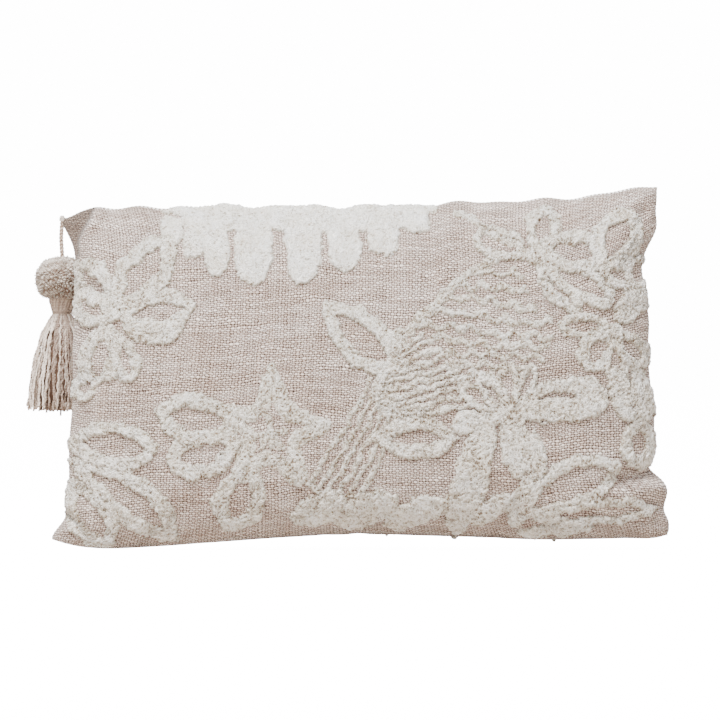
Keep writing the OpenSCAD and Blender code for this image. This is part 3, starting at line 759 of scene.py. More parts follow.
# ------------------------------------------------------------------ the stuffed cover
NS, NT = 126, 80                      # cells of the simulated cloth
COLS, ROWS = 291, 186                 # points of the finished front panel
UPPER_ROWS, LOWER_ROWS = 150, 34      # rows of cells of the two back panels
MAX_MOVE = 6.0                        # how far the simulation may move a point
HEM_HALF = 193                        # half of the length over which the zip parts the hems
FOLD_SHARE = 0.34                     # how much of the ear's fold comes before its line


def seg_dist(x, z, ax, az, bx, bz):
    """Distance to a segment, and how far along it the nearest point lies."""
    dx, dz = bx - ax, bz - az
    k = np.clip(((x - ax) * dx + (z - az) * dz) / (dx * dx + dz * dz), 0, 1)
    return np.hypot(x - ax - k * dx, z - az - k * dz), k


# folds pressed into the cover: from, to, half width, depth into the pillow
FRONT_FOLDS = [
    (262, 70, 214, 58, 6.5, 6.0), (266, 40, 226, 34, 6, 5.0), (262, 24, 190, 26, 6, 3.5),
    (252, 300, 238, 276, 6, 3.5), (262, 292, 252, 262, 5, 3.0), (255, 214, 226, 206, 9, 2.5),
    (-262, 30, -240, 5, 4.5, 6.0), (-258, 52, -226, 40, 8, 2.2), (-252, 232, -214, 222, 9, 2.5),
    (-256, 150, -226, 150, 10, 2.0), (258, 150, 232, 158, 9, 2.0), (30, 303, 30, 286, 6, 1.4),
    (-210, 303, -206, 284, 8, 1.6), (-70, 303, -70, 290, 10, 1.0), (96, 304, 94, 284, 7, 1.4),
    (176, 312, 170, 288, 7, 1.8), (-200, 4, -170, 22, 9, 1.6), (120, 9, 130, 30, 10, 1.6)]
BACK_FOLDS = [
    (258, 96, 200, 104, 8, 4.5), (250, 26, 206, 34, 7, 4.0), (-262, 34, -222, 40, 8, 4.0),
    (-254, 236, -200, 214, 9, 4.0), (252, 280, 212, 252, 9, 3.5), (256, 190, 214, 184, 10, 3.0),
    (-258, 140, -214, 146, 10, 3.0), (-120, 303, -118, 272, 9, 2.5), (40, 304, 44, 270, 9, 2.2),
    (150, 308, 146, 276, 9, 2.4), (-30, 303, -32, 280, 7, 2.0)]


def fold_line(z):
    """x of the line along which the top left ear is folded back."""
    return -239.5 - 0.30 * np.maximum(0, 306 - z) - 4.5 * bump1(z, 276, 14)


def skin(u, v, side, wrinkles=None):
    """The real cover: plain form, folded ear, pressed folds and the simulated wrinkles."""
    p = surf(u, v, side)
    x, z = p[..., 0], p[..., 2]
    # the ear's fold is flat before its line, and steep beyond it
    ramp = ear_fold(u, v)
    past = fold_line(z) - x
    over = smoothstep(-0.5, 2.6, past) * smoothstep(240, 258, z)
    share = FOLD_SHARE + (1 - FOLD_SHARE) * over
    p[..., 1] += FOLD * (np.minimum(ramp, ramp * share) - ramp)
    p[..., 1] -= 3.0 * bump1(past, -5, 6) * smoothstep(244, 270, z) * (side < 0)
    plane = Y_MID + LEAN * v ** 1.3
    for ax, az, bx, bz, w, h in (FRONT_FOLDS if side < 0 else BACK_FOLDS):
        d, k = seg_dist(x, z, ax, az, bx, bz)
        near = np.exp(-(d / w) ** 2) - 0.35 * np.exp(-((d - 1.9 * w) / w) ** 2)
        p[..., 1] -= side * h * near * (1 - 0.75 * k) \
            * smoothstep(0, 9, np.abs(p[..., 1] - plane))
    if wrinkles is not None:
        s, t = flat(u, v)
        p = p + pick(wrinkles, s, t)
    return p


def pick(field, s, t):
    """Bilinear look-up of a (n, m, 3) field over the flat cloth."""
    n, m = field.shape[:2]
    a = np.clip((s + HALF_S) / (2 * HALF_S) * (n - 1), 0, n - 1.001)
    b = np.clip(t / LEN_T * (m - 1), 0, m - 1.001)
    i, j = a.astype(int), b.astype(int)
    fa, fb = (a - i)[..., None], (b - j)[..., None]
    return (field[i, j] * (1 - fa) + field[i + 1, j] * fa) * (1 - fb) \
        + (field[i, j + 1] * (1 - fa) + field[i + 1, j + 1] * fa) * fb


def cubic(n, m):
    """Weights that resample n values to m by a cubic through them."""
    w = np.zeros((m, n))
    pos = np.linspace(0, n - 1, m)
    for r, x in enumerate(pos):
        i = min(int(x), n - 2)
        f = x - i
        for d, c in ((-1, -0.5 * f + f * f - 0.5 * f ** 3), (0, 1 - 2.5 * f * f + 1.5 * f ** 3),
                     (1, 0.5 * f + 2 * f * f - 1.5 * f ** 3), (2, -0.5 * f * f + 0.5 * f ** 3)):
            w[r, min(max(i + d, 0), n - 1)] += c
    return w


def blur(f, times):
    """Averages each point of a field with its neighbours, several times over."""
    for _ in range(times):
        g = np.pad(f, ((1, 1), (1, 1), (0, 0)), mode="edge")
        f = (g[:-2, 1:-1] + g[2:, 1:-1] + g[1:-1, :-2] + g[1:-1, 2:] + 2 * f) / 6
    return f


def seam_distance(s, t):
    """Distance along the cloth to the nearest outer seam."""
    return np.minimum(np.minimum(HALF_S - np.abs(s), t), LEN_T - t)


def simulate():
    """Inflates the two sewn flat panels a little and returns how front and back move."""
    s = np.linspace(-HALF_S, HALF_S, NS + 1)[:, None] + np.zeros((1, NT + 1))
    t = np.linspace(0, LEN_T, NT + 1)[None, :] + np.zeros((NS + 1, 1))
    u, v = u_of(s), v_of(t)
    f, b = skin(u, v, -1), skin(u, v, 1)
    rim = np.zeros(u.shape, bool)
    rim[0], rim[-1], rim[:, 0], rim[:, -1] = True, True, True, True
    mid = (f + b) / 2
    f[rim], b[rim] = mid[rim], mid[rim]
    n = f.shape[0] * f.shape[1]
    ids_f = np.arange(n).reshape(u.shape)
    ids_b = np.where(rim, ids_f, 0)
    ids_b[~rim] = n + np.arange((~rim).sum())
    co = np.vstack([f.reshape(-1, 3), b[~rim]])
    flat_co = np.vstack([np.stack([s, 0 * s - 1.0 + rim, t], -1).reshape(-1, 3),
                         np.stack([s, 0 * s + 1.0, t], -1)[~rim]])
    q = grid_quads(NS + 1, NT + 1)
    quads = np.vstack([q, ids_b.ravel()[q][:, ::-1]])
    ob = make("sim_cover", co, quads, body=None)
    ob.shape_key_add(name="Basis")
    rest = ob.shape_key_add(name="flat")
    rest.data.foreach_set("co", (flat_co / 1000).astype(np.float32).ravel())
    mod = ob.modifiers.new("cloth", "CLOTH")
    c = mod.settings
    c.quality = 6
    c.mass = 0.35
    c.air_damping = 4
    c.tension_stiffness = 18
    c.compression_stiffness = 18
    c.shear_stiffness = 6
    c.bending_stiffness = 0.35
    c.use_pressure = True
    c.uniform_pressure_force = 4
    c.effector_weights.gravity = 0
    c.rest_shape_key = rest
    mod.collision_settings.use_collision = False
    mod.point_cache.frame_start, mod.point_cache.frame_end = 1, 20
    scene = bpy.context.scene
    for frame_no in range(1, 21):
        scene.frame_set(frame_no)
    ev = ob.evaluated_get(bpy.context.evaluated_depsgraph_get())
    out = np.empty(len(co) * 3, np.float32)
    ev.data.vertices.foreach_get("co", out)
    out = out.reshape(-1, 3).astype(float) * 1000
    scene.frame_set(1)
    bpy.data.objects.remove(ob)
    move = out - co
    fields = []
    for ids in (ids_f, ids_b):
        # the swelling goes and the wrinkles stay
        d = move[ids]
        d = d - 0.85 * blur(d, 40)
        size = np.linalg.norm(d, axis=-1, keepdims=True)
        fields.append(d * np.minimum(1, MAX_MOVE / np.maximum(size, 1e-6)))
    # seam points move with both panels; the foot and the zip stay put
    join = (fields[0] + fields[1]) / 2
    for i, (p0, side) in enumerate(((f, -1), (b, 1))):
        d = fields[i]
        d[rim] = join[rim] * 0.3
        seam = seam_distance(s, t)[..., None]
        held = 0.10 + 0.90 * smoothstep(2, 34, seam)
        d = d * np.concatenate([held, 0.5 + 0.5 * held, held], -1)
        keep = smoothstep(1, 16, p0[..., 2])
        if side > 0:
            keep = keep * (1 - smoothstep(30, 12, np.abs(p0[..., 2] - ZIP_Z))
                           * smoothstep(225, 200, np.abs(p0[..., 0])))
        tack = smoothstep(34, 12, np.hypot(p0[..., 0] + 266, p0[..., 2] - 293))
        d = blur(d * (keep * (1 - tack))[..., None], 1)
        fields[i] = np.einsum("ai,ijk,bj->abk", cubic(NS + 1, 3 * NS + 1), d,
                              cubic(NT + 1, 3 * NT + 1))
    return fields


WRINKLES = simulate()


def wrinkled(u, v, side):
    """The skin with its simulated wrinkles."""
    return skin(u, v, side, WRINKLES[side > 0])


def outward(p, side):
    """Unit normals of a grid of points, out of the pillow."""
    n = np.cross(np.gradient(p, axis=0), np.gradient(p, axis=1))
    n /= np.maximum(np.linalg.norm(n, axis=-1, keepdims=True), 1e-9)
    mid = n.shape[0] // 2, n.shape[1] // 2
    return n if n[mid][1] * side > 0 else -n


def cover(u, v, side):
    """Points and normals of the finished cover on a grid, with the seam groove."""
    p = wrinkled(u, v, side)
    n = outward(p, side)
    s, t = flat(u, v)
    edge = seam_distance(s, t)
    groove = np.exp(-(edge / 2.4) ** 2) * smoothstep(0, 3, p[..., 2])
    p = p - n * (1.1 * groove)[..., None]
    p[..., 2] = np.maximum(p[..., 2], 0.05)
    return p, n, edge


def flap(u, v):
    """1 on the part of the front that is folded away at the top left ear, which the weave darkens as
    painted shade.
    """
    p = surf(u, v, -1)
    x, z = p[..., 0], p[..., 2]
    return smoothstep(-0.5, 2.0, fold_line(z) - x) * smoothstep(242, 256, z)


def cloth_attr(u, v):
    s, t = weave_at(u, v)
    return np.stack([s, t, 0 * s], -1)


def front_panel():
    u, v = uv_grid(COLS, ROWS)
    p, _, edge = cover(u, v, -1)
    # shade marks the folded-back ear, where the weave gets painted shade
    ob = make("cover_front", p, grid_quads(COLS, ROWS), mat=WEAVE, replaces=("front_panel",),
              attrs={"cloth": cloth_attr(u, v).reshape(-1, 3),
                     "edge": np.exp(-(edge / 4) ** 2).ravel(), "shade": flap(u, v).ravel()})


def v_at_height(u, z):
    """v of the plain form at a height, low down where it rises evenly."""
    zt, zb = top_z(u), bottom_z(u)
    return (z - zb + FOOT) / (zt - zb + FOOT)


def back_panel(sgn, rows, name, node):
    """One part of the back, above (1) or below (-1) the zip, its hem turned in along the zip."""
    u = u_of(np.linspace(-HALF_S, HALF_S, COLS))[:, None] + np.zeros((1, rows + 1))
    near = smoothstep(0, 1, (HEM_HALF - np.abs(u * half_w(0.16))) / 12)
    tc = np.interp(v_at_height(u, ZIP_Z + sgn * (0.3 + 6.7 * near)), V_LINE, T_LINE)
    f = np.linspace(0, 1, rows + 1)[None, :]
    t = tc + (LEN_T - tc) * f if sgn > 0 else tc * f
    v = v_of(t)
    p, n, edge = cover(u, v, 1)
    # a rounded hem: the last 2 mm roll in, then the turning lies inside
    cut = 0 if sgn > 0 else rows
    d = np.abs(t - tc)
    amount = near * np.exp(-(d / 1.6) ** 2)
    p = p - n * (0.5 * amount)[..., None]
    stitch = near * np.exp(-((d - 3.4) / 1.0) ** 2)
    p = p - n * (0.45 * stitch)[..., None]
    cloth = cloth_attr(u, v)
    base, nn = p[:, cut], n[:, cut]
    up = p[:, cut + 2 * sgn] - base
    up /= np.linalg.norm(up, axis=1)[:, None]
    turning = np.stack([base, base - nn * 0.55 - up * 0.25, base - nn * 1.05 + up * 0.3,
                        base - nn * 1.1 + up * 5.5 * near[:, :1]], 1)
    turned = cloth[:, cut][:, None] + np.array([[0, 0, 0], [0, 0.8, 0], [0, 1.6, 0], [0, 6, 0]])
    quads = np.vstack([grid_quads(COLS, rows + 1, flip=True),
                       grid_quads(COLS, 4, flip=sgn > 0, base=COLS * (rows + 1))])
    worn = np.concatenate([np.maximum(np.exp(-(edge / 4) ** 2), amount).ravel(),
                           np.full(COLS * 4, 0.8)])
    ob = make(name, np.vstack([p.reshape(-1, 3), turning.reshape(-1, 3)]), quads, mat=WEAVE,
              replaces=(node,),
              attrs={"cloth": np.vstack([cloth.reshape(-1, 3), turned.reshape(-1, 3)]),
                     "edge": worn, "shade": 0 * worn})


def seam_thread(step=0.9):
    """A thread round the four sides, set in the groove of the seam."""
    side, up = np.linspace(-HALF_S, HALF_S, 280), np.linspace(0, LEN_T, 180)
    s = np.concatenate([side, 0 * up + HALF_S, side[::-1], 0 * up - HALF_S])
    t = np.concatenate([0 * side + LEN_T, up[::-1], 0 * side, up])
    line = (wrinkled(u_of(s), v_of(t), -1) + wrinkled(u_of(s), v_of(t), 1)) / 2
    inward = np.array([0, 10, 150.0]) - line
    inward[:, 1] = 0
    inward /= np.linalg.norm(inward, axis=1)[:, None]
    line = line + inward * 0.9
    run = arc_length(line)
    at = np.arange(0, run[-1], step)
    seam = np.stack([np.interp(at, run, line[:, k]) for k in range(3)], 1)
    seam[:, 2] = np.maximum(seam[:, 2], 0.5)
    pile = Pile()
    pile.add(*tube(seam, 0.42 + 0.16 * np.sin(at * 2 * math.pi / 3.6), 6, tone=0.45))
    pile.make("seam_thread", slot="sewing_thread", mat=THREAD)


def topstitch(sgn, part):
    """A row of separate stitches along one hem of the zip."""
    pile = Pile()
    rise = -0.75 + 1.15 * np.sin(np.linspace(0, math.pi, 9)) ** 0.6
    for k in range(75):
        x0 = -181 + 4.85 * k
        u = np.linspace(x0, x0 + 3.7, 9) / half_w(0.19)
        v = v_at_height(u, ZIP_Z + sgn * 10.4)
        p, n, _ = cover(np.stack([u, u], 1), np.stack([v, v + 0.004], 1), 1)
        pile.add(*tube(p[:, 0] + n[:, 0] * rise[:, None], 0.34, 6, tone=0.55))
    pile.make("topstitch_" + part, slot="sewing_thread", mat=THREAD,
              replaces=("zip_topstitch_" + part,))


front_panel()
back_panel(1, UPPER_ROWS, "cover_back_upper", "back_panel_upper")
back_panel(-1, LOWER_ROWS, "cover_back_lower", "back_panel_lower")
seam_thread()
topstitch(1, "upper")
topstitch(-1, "lower")


# ------------------------------------------------------------------ insert inside the cover
def inset(side, depth, n, m):
    """A grid of points this deep inside the cover, and deeper behind the zip."""
    u, v = uv_grid(n, m)
    u, v = u * 0.985, 0.012 + 0.976 * v
    ear = smoothstep(0.5, 1, np.abs(u)) * smoothstep(0.5, 1, np.abs(2 * v - 1))
    u, v = u * (1 - 0.13 * ear), 0.5 + (v - 0.5) * (1 - 0.16 * ear)
    p = wrinkled(u, v, side)
    room = depth + (8 / (1 + np.abs((p[..., 2] - ZIP_Z) / 13) ** 4) if side > 0 else 0)
    mid = Y_MID + LEAN * v ** 1.3 + FOLD * ear_fold(u, v)
    room = np.minimum(room, 0.55 * np.abs(p[..., 1] - mid))
    q = p - outward(p, side) * room[..., None]
    q[..., 2] = np.maximum(q[..., 2], 1.5)
    return q


def insert_cloth(side, part, n=110, m=70):
    ob = make("insert_" + part, inset(side, 3.0, n, m), grid_quads(n, m, flip=side > 0),
              slot="insert_cloth", mat=LINING, replaces=("insert_" + part + "_panel",))


def fibre_fill(n=90, m=60):
    """One closed body of fibre: two grids joined round their rims."""
    both = np.vstack([inset(side, 4.6, n, m).reshape(-1, 3) for side in (-1, 1)])
    k = n * m
    rim = np.concatenate([np.arange(n) * m, (n - 1) * m + np.arange(1, m),
                          np.arange(n - 2, -1, -1) * m + m - 1, np.arange(m - 2, 0, -1)])
    nxt = np.roll(rim, -1)
    quads = np.vstack([grid_quads(n, m), grid_quads(n, m, flip=True, base=k),
                       np.stack([rim, rim + k, nxt + k, nxt], 1)])
    ob = make("fibre_fill", both, quads, slot="fibre_fill", mat=FIBRE,
              replaces=("insert_fibre_fill",))


insert_cloth(-1, "front")
insert_cloth(1, "back")
fibre_fill()


# ------------------------------------------------------------------ tufted yarn motifs
# leaf: (x0, z0, x1, z1, width, bulge, band); band 0 is solid, a negative width is a hole
# rope: (width, (x, z), (x, z), ...)
# all in mm on the front face, painted in order, a later shape creasing over an earlier one
def star(x, z, turns, far, near):
    """Closed outline of a star: its tips at the given angles, its notches between them."""
    out = []
    for k in range(len(turns) + 1):
        a, b = turns[k % 5], turns[(k + 1) % 5]
        b += 360 if b < a else 0
        for w, r in ((a, far[k % 5]), ((a + b) / 2, near)):
            out.append((x + r * math.cos(math.radians(w)), z + r * math.sin(math.radians(w))))
    return out[:-1]


def saddle_rows():
    """Eleven ropes that fan out across the bird's body."""
    rows = []
    r = np.array([0, 0.25, 0.5, 0.75, 1.0])
    for k in range(11):
        (x0, z0), (x1, z1) = (13 + 1.6 * k, 116 + 6.4 * k), (112 - 6.6 * k, 132 + 6.6 * k)
        z = z0 + r * (z1 - z0) + 7 * r * (r - 1) + 1.3 * np.sin(9 * r + k)
        rows.append((5.6, *zip(x0 + r * (x1 - x0), z)))
    return rows


def feather_rows():
    """Nine scalloped ropes across the bird's back, and one along its edge."""
    rows = []
    for i in range(9):
        z0 = 246 - 11.5 * i
        left = 100 - 13 * i if i < 5 else 62 + 6 * (i - 5)
        right = 140 + 9 * i if i < 4 else 170 - 5 * (i - 4)
        xs = np.arange(left, right, 3.0)
        arch = np.abs(np.sin((xs + 8 * (i % 2)) * math.pi / 19))
        zs = z0 - 0.10 * (xs - left) - 5.2 * arch + 2 + 1.5 * np.sin(xs / 17 + i)
        rows.append((5.4, *zip(xs, zs)))
    rows.append((8, (36, 190), (58, 212), (84, 236), (112, 254)))
    return rows


def tail_strands():
    rows = [(4.6, (6 + 5.5 * k, 150 - 5 * k), (-8 + 6 * k, 122 - 5 * k),
             (-27 + 7.2 * k, 90 - 4.5 * k), (-50 + 9 * k, 58 - 3 * k)) for k in range(6)]
    return rows + [(4.2, (-50, 58), (-34, 50), (-14, 47), (-6, 47))]


MOTIFS = {
    "bird_tail_strands": tail_strands(),
    "bird_feathers": feather_rows(),
    "bird_body": [
        (12, 124, 60, 120, 13, 0, 0), (14, 122, 34, 196, 13, 5, 0), *saddle_rows()],
    "petal_row_top": [
        (-178, 291, 62, 293, 22, 0, 0), (-180, 302, 66, 302, 22, 0, 0),
        (-176, 296, -170, 268, 20, 0, 0), (-151, 306, -151, 256, 21, 0, 0),
        (-131, 306, -131, 240, 20, 0, 0), (-99, 308, -98, 234, 34, 0, 0),
        (-54, 308, -53, 233, 33, 0, 0), (-17, 308, -17, 245, 31, 0, 0),
        (17, 306, 18, 259, 28, 0, 0), (45, 304, 45, 281, 30, 0, 0)],
    "star_flower_upper_left": [
        (-224, 200, -242, 144, 40, 0, 13), (-218, 192, -204, 146, 26, 0, 9),
        (-214, 197, -160, 197, 27, -2, 0), (-216, 205, -262, 222, 36, 0, 11),
        (-224, 214, -258, 256, 38, 0, 13), (-218, 206, -150, 214, 40, 0, 12),
        (-224, 210, -171, 276, 46, 0, 14), (-234, 214, -214, 202, 12, 0, 0)],
    "leaf_pair_centre": [
        (-36, 218, 30, 157, 46, 0, 13), (22, 192, 34, 176, 14, 0, 0)],
    "almond_leaf_centre": [(4, 98, 86, 98, 38, 0, 13)],
    "star_flower_centre": [
        (-98, 78, -120, 14, 46, 0, 14),
        (-106, 96, -174, 74, 44, 0, 13), (-108, 108, -184, 121, 46, 0, 14),
        (13.5, *star(-80, 104, (92, 158, 232, 297, 8), (53, 47, 50, 48, 44), 22)),
        (6, (-94, 100), (-82, 103), (-68, 105)), (6, (-84, 120), (-81, 104), (-80, 92)),
        (6, (-90, 90), (-82, 102), (-72, 92))],
    "leaf_spray_lower_left": [
        (-262, 62, -224, -2, 42, 0, 13), (-262, 80, -164, 8, 44, 4, 14),
        (-266, 94, -180, 88, 44, 0, 13), (-264, 136, -236, 150, 26, 0, 9)],
    "stem": [
        (112, 124, 80, 10, 31, 0, 0), (108, 112, 78, 112, 22, 0, 0),
        (92, 20, 130, 46, 20, 0, 0)],
    "stem_flower": [
        (124, 120, 84, 146, 22, 0, 7), (128, 118, 100, 156, 20, 0, 7),
        (128, 122, 151, 60, 36, 0, 0), (148, 121, 147, 102, -9, 0, 0),
        (130, 124, 128, 166, 20, 0, 6), (134, 122, 152, 164, 18, 0, 6),
        (134, 122, 218, 135, 38, 3, 0), (152, 132, 188, 136, -4.5, 1, 0),
        (112, 114, 138, 124, 16, 0, 0)],
    "flower_top_right": [
        (150, 260, 96, 278, 30, 0, 9), (154, 262, 166, 306, 34, 0, 11),
        (156, 258, 190, 210, 30, 0, 10), (160, 256, 224, 216, 32, 0, 10),
        (154, 263, 220, 262, 38, 0, 11), (208, 246, 242, 300, 44, 0, 13),
        (7, (84, 300), (104, 288), (124, 274), (148, 262)),
        (206, 250, 252, 236, 28, 0, 10), (146, 256, 166, 266, 15, 0, 0)],
    "flower_right": [
        (7, (158, 236), (178, 220), (196, 204), (216, 194)),
        (220, 196, 172, 200, 22, 0, 7), (220, 194, 194, 158, 32, 0, 10.5),
        (224, 192, 254, 160, 30, 0, 10), (222, 186, 224, 142, 24, 0, 8),
        (226, 200, 254, 236, 24, 0, 0), (214, 194, 232, 190, 15, 0, 0)],
    "edge_leaves_right": [
        (246, 226, 246, 262, 26, 0, 9), (220, 162, 240, 112, 22, 0, 0),
        (244, 160, 252, 112, 21, 0, 0), (244, 118, 246, 70, 36, 0, 12.5)],
    "leaves_bottom_centre": [
        (-64, 24, -14, 44, 30, 0, 0), (-24, 20, 30, 46, 30, 2, 0), (18, 18, 76, 40, 24, 3, 0)],
    "leaves_bottom_right": [
        (130, 18, 152, 66, 24, 0, 0), (134, 14, 206, 18, 12, 0, 0),
        (136, 30, 230, 74, 44, 4, 11), (204, 52, 214, 26, 12, 0, 0),
        (150, 26, 262, 34, 24, 2, 8)],
}


def paint_leaf(x, z, leaf):
    """Distance inside a leaf's band (or the whole leaf, if solid), and inside its outline."""
    x0, z0, x1, z1, w, bulge, band = leaf
    long = math.hypot(x1 - x0, z1 - z0)
    cx, cz = (x1 - x0) / long, (z1 - z0) / long
    px, pz = x - (x0 + x1) / 2, z - (z0 + z1) / 2
    a = (px * cx + pz * cz) / (long / 2)
    b = -px * cz + pz * cx - bulge * (1 - a * a)
    aa = np.clip(np.abs(a), 0, 1)
    p, q, steep, lean = (2.2, 0.76, 1.65, 0.18) if band else (2.7, 0.56, 1.5, 0.16)
    half = abs(w) / 2 * (1 - aa ** p) ** q * (1 + lean * a)
    slope = abs(w) / long * steep * aa ** (p - 1) / np.maximum(1 - aa ** p, 0.05) ** (1 - q)
    d = (half - np.abs(b)) / np.sqrt(1 + slope ** 2)
    d = np.minimum(d, (1 - np.abs(a)) * long / 2 + 0.8)
    return (np.minimum(d, band - d) if band else d), d


def smooth_line(pts, n=5):
    """A line of n points to each stretch that runs smoothly through all of pts."""
    p = np.asarray(pts, float)
    e = np.vstack([2 * p[0] - p[1], p, 2 * p[-1] - p[-2]])
    out = []
    for i in range(1, len(e) - 2):
        for f in np.arange(n) / n:
            out.append(0.5 * (2 * e[i] + f * (e[i + 1] - e[i - 1]) + f * f * (
                2 * e[i - 1] - 5 * e[i] + 4 * e[i + 1] - e[i + 2]) + f ** 3 * (
                3 * (e[i] - e[i + 1]) + e[i + 2] - e[i - 1])))
    return np.array(out + [p[-1]])


def paint_rope(x, z, rope):
    """Distance inside a rope's outline."""
    line = smooth_line(rope[1:])
    d = np.full(x.shape, 1e3)
    for (ax, az), (bx, bz) in zip(line[:-1], line[1:]):
        dd, _ = seg_dist(x, z, ax, az, bx, bz)
        d = np.minimum(d, dd)
    return rope[0] / 2 - d


def shoulder(d, w=2.3):
    """Height from 0 to 1 of a rounded edge of width w."""
    k = np.clip(d / w, 0, 1)
    return np.sqrt(1 - (1 - k) ** 2)


PILE_H = 3.5                          # height of the tufting
NU_T, NV_T = 760, 480                 # points of the grid that all tufts are cut from
U, V = uv_grid(NU_T, NV_T)
S, T = flat(U, V)


def noise_at(size, seed):
    """Noise over the flat cloth, its lumps about this many mm apart."""
    return value_noise(S / size, T / size, seed)


P, N, EDGE = cover(U, V, -1)
plain = surf(U, V, -1)
X = plain[..., 0] + 2.2 * noise_at(10, 11) + 1.3 * noise_at(3.2, 12)
Z = plain[..., 2] + 2.2 * noise_at(10, 13) + 1.3 * noise_at(3.2, 14)
FRAY = 0.9 * noise_at(1.3, 15)
# loops: curled strands of yarn about 2 mm apart, as ridges where a noise crosses zero
curl = value_noise(S / 2.0 + 0.4 * noise_at(9, 16), T / 2.0, 41) + 0.4 * noise_at(1.2, 42)
LOOP = np.clip(1 - np.abs(curl) / 0.6, 0, 1) ** 0.8
HEIGHT = np.zeros(S.shape)
OWNER = np.full(S.shape, -1)


def paint(number, shape, pad=30):
    """Raises one shape of a motif on HEIGHT and notes in OWNER which motif it belongs to."""
    rope = isinstance(shape[1], tuple)
    pts = np.array(shape[1:] if rope else [shape[:2], shape[2:4]], float)
    (x0, z0), (x1, z1) = pts.min(0) - pad, pts.max(0) + pad
    ii, jj = np.where((X > x0) & (X < x1) & (Z > z0) & (Z < z1))
    if not len(ii):
        return
    part = slice(ii.min(), ii.max() + 1), slice(jj.min(), jj.max() + 1)
    x, z, below = X[part], Z[part], HEIGHT[part]
    if rope:
        inner = paint_rope(x, z, shape)
        inside = inner > 0
        top = 0.80 * PILE_H * shoulder(inner, shape[0] / 2) * (0.75 + 0.25 * LOOP[part])
        top = np.maximum(top, below * 0.35)
    else:
        inner, outer = paint_leaf(x, z, shape)
        inside = outer > 0
        if shape[4] < 0:
            HEIGHT[part] = np.where(inside, 0, below)
            return
        frayed = inner + FRAY[part]
        top = np.maximum(PILE_H * shoulder(frayed, 2.6) * (frayed > 0),
                         below * np.where(inner > 0, 0.66, 0.0))
    HEIGHT[part] = np.where(inside, top, below)
    OWNER[part] = np.where(inside & (HEIGHT[part] > 0), number, OWNER[part])


for number, shapes in enumerate(MOTIFS.values()):
    for shape in shapes:
        paint(number, shape)
soft, mound = noise_at(14, 21), noise_at(4.5, 32)
RISE = HEIGHT * smoothstep(0.5, 5, EDGE) * smoothstep(0.2, 3.5, P[..., 2]) * (0.92 + 0.12 * soft)
bumpy = RISE * (0.68 + 0.34 * LOOP + 0.18 * mound + 0.10 * noise_at(1.1, 31)) - 0.25
# lift: how bright the yarn is painted, lower between the loops' strands and on low pile, as painted
# shade
lift = np.clip(0.16 + 0.10 * RISE / PILE_H + 0.44 * LOOP + 0.08 * soft + 0.10 * mound, 0, 1)
# the top row is painted brighter and the rest a little darker, as painted light from above, and low
# places and steep sides beside high ones get painted shade as creases
lift += np.where(OWNER == list(MOTIFS).index("petal_row_top"), 0.13, -0.07)
lift = np.where(RISE > 0.3, lift, 0.22)
lift -= 0.10 * np.clip(np.hypot(*np.gradient(RISE)) / 1.2, 0, 1)
point = P + N * bumpy[..., None]
point[..., 2] = np.maximum(point[..., 2], 0.1)
point = point.reshape(-1, 3)
cloth = np.stack([S, T, bumpy], -1).reshape(-1, 3)
# a cell belongs to the motif at its highest corner
quads = grid_quads(NU_T, NV_T)
quads = quads[RISE.ravel()[quads].max(1) > 0.05]
highest = RISE.ravel()[quads].argmax(1)
owner = OWNER.ravel()[quads][np.arange(len(quads)), highest]
for number, name in enumerate(MOTIFS):
    q = quads[owner == number]
    if not len(q):
        raise SystemExit("no tufting for " + name)
    ids, inv = np.unique(q, return_inverse=True)
    make("tuft_" + name, point[ids], inv.reshape(-1, 4), slot="tufted_yarn", mat=TUFT,
         replaces=(name,), attrs={"cloth": cloth[ids], "lift": lift.ravel()[ids]})


# ------------------------------------------------------------------ zip
ZIP_R, ZIP_TILT = 1450.0, math.radians(12)  # the zip's arc seen from above; how far its face tilts
ZIP_MID_Y = 51.8 - ZIP_R                    # y of the arc's centre
COIL_HALF, COIL_TURNS = 174.6, 230


def zip_point(s, t, n):
    """s along the zip, t up the tape, n out of it."""
    a = np.asarray(s, float) / ZIP_R
    r = ZIP_R + t * math.sin(ZIP_TILT) + n * math.cos(ZIP_TILT)
    z = ZIP_Z + t * math.cos(ZIP_TILT) - n * math.sin(ZIP_TILT)
    return np.stack(np.broadcast_arrays(r * np.sin(a), ZIP_MID_Y + r * np.cos(a), z), -1)


def coil(sgn, part):
    """A nylon spiral along the tape's edge, the cord inside it and two rows of sewing."""
    a = np.linspace(0, COIL_TURNS * 2 * math.pi, COIL_TURNS * 10 + 1)
    s = COIL_HALF * (2 * a / a[-1] - 1) + 0.38 * sgn
    pile = Pile()
    pile.add(*tube(zip_point(s, sgn * (1.95 - 1.25 * np.cos(a)), 0.62 * np.sin(a)), 0.30, 5))
    pile.add(*tube(zip_point(np.linspace(-COIL_HALF, COIL_HALF, 60), sgn * 2.1, 0), 0.34, 6))
    thread = 0.86 + 0.10 * np.sin(np.arange(700) * math.pi * 2 / 6)
    for off in (2.0, 2.7):
        pile.add(*tube(zip_point(np.linspace(-COIL_HALF, COIL_HALF, 700), sgn * off, thread),
                       0.16, 5))
    pile.make("coil_" + part, slot="zip_coil", mat=COIL, replaces=("zip_coil_" + part,))


coil(1, "upper")
coil(-1, "lower")


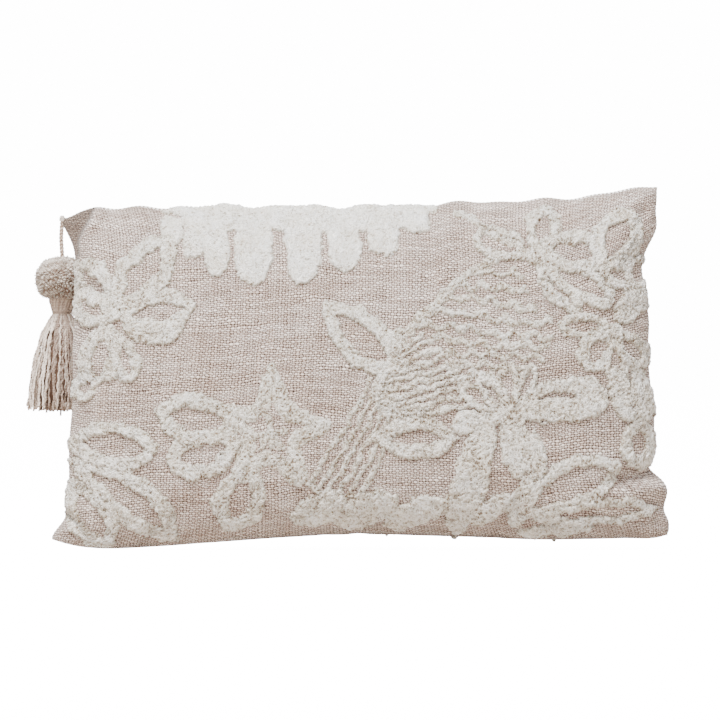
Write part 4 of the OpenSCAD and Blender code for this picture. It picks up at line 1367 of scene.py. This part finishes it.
def bevelled(node, name, body, width):
    """The CAD part with its sharp edges rounded, as a cast part has."""
    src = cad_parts[node]
    me = src.data.copy()
    ob = bpy.data.objects.new(name, me)
    bpy.context.scene.collection.objects.link(ob)
    ob.matrix_world = src.matrix_world.copy()
    me.materials.clear()
    me.materials.append(BRASS)
    bm = bmesh.new()
    bm.from_mesh(me)
    bmesh.ops.remove_doubles(bm, verts=bm.verts, dist=1e-6)
    bmesh.ops.dissolve_limit(bm, angle_limit=math.radians(4), verts=bm.verts, edges=bm.edges)
    bm.to_mesh(me)
    bm.free()
    for poly in me.polygons:
        poly.use_smooth = True
    b = ob.modifiers.new("round", "BEVEL")
    b.width, b.segments, b.limit_method = width, 2, "ANGLE"
    b.angle_limit = math.radians(35)
    b.harden_normals = True
    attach(ob, body)
    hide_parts(node)


bevelled("zip_slider", "slider_body", "zip_slider", 0.00022)
bevelled("zip_pull_tab", "pull_tab", "zip_pull", 0.00025)
for node, mat in (("zip_tape_upper", TAPE), ("zip_tape_lower", TAPE), ("zip_top_stops", BRASS),
                  ("zip_bottom_stop", BRASS)):
    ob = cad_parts[node]
    if ob.data.materials:
        for k in range(len(ob.data.materials)):
            ob.data.materials[k] = mat
    else:
        ob.data.materials.append(mat)

# ------------------------------------------------------------------ studio
floor_n = Nodes("floor_white")
mottle = floor_n.noise(floor_n.place(), 30)
floor_n.done(floor_n.mix(mottle, (0.58, 0.50, 0.43), (0.62, 0.54, 0.47)), 0.9,
             Specular_IOR_Level=0.0)
glow_n = Nodes("floor_bright")
glow_n.done((0.9, 0.9, 0.9), 1.0, Emission_Color=(1, 1, 1), Emission_Strength=15.0,
            Specular_IOR_Level=0.0)
# the floor that the light sees, and over it the bright sweep that the camera sees
for name, mat, z, seen in (("floor", floor_n.mat, -0.0022, False),
                           ("floor_sweep", glow_n.mat, -0.0012, True)):
    bpy.ops.mesh.primitive_plane_add(size=60, location=(0, 0, z))
    floor = bpy.context.object
    floor.name = name
    floor.data.materials.append(mat)
    floor.visible_camera = seen
    floor.visible_diffuse = not seen
    floor.visible_glossy = not seen
    floor.visible_shadow = not seen

world = bpy.data.worlds.new("studio")
bpy.context.scene.world = world
world.use_nodes = True
wt = world.node_tree
soft_bg = wt.nodes["Background"]
soft_bg.inputs["Color"].default_value = (1, 1, 1, 1)
soft_bg.inputs["Strength"].default_value = 0.94
white_bg = wt.nodes.new("ShaderNodeBackground")
white_bg.inputs["Strength"].default_value = 19.0
ray = wt.nodes.new("ShaderNodeLightPath")
mixer = wt.nodes.new("ShaderNodeMixShader")
wt.links.new(ray.outputs["Is Camera Ray"], mixer.inputs[0])
wt.links.new(soft_bg.outputs[0], mixer.inputs[1])
wt.links.new(white_bg.outputs[0], mixer.inputs[2])
wt.links.new(mixer.outputs[0], wt.nodes["World Output"].inputs[0])


def area(name, loc, target, size, power):
    """A soft rectangular light at loc that faces target."""
    li = bpy.data.lights.new(name, "AREA")
    li.shape = "RECTANGLE"
    li.size, li.size_y = size
    li.energy = power
    ob = bpy.data.objects.new(name, li)
    bpy.context.scene.collection.objects.link(ob)
    ob.location = loc
    d = np.array(target) - np.array(loc)
    ob.rotation_euler = (math.atan2(math.hypot(d[0], d[1]), -d[2]), 0,
                         math.atan2(d[1], d[0]) - math.pi / 2)


area("key_top_left", (-0.55, -1.1, 2.55), (-0.05, 0, 0.25), (1.4, 1.2), 275)
area("fill_front", (0.3, -2.8, 0.6), (0, 0, 0.15), (1.6, 1.2), 14)
area("back_soft", (0.5, 1.8, 1.6), (0, 0, 0.15), (1.4, 1.2), 20)
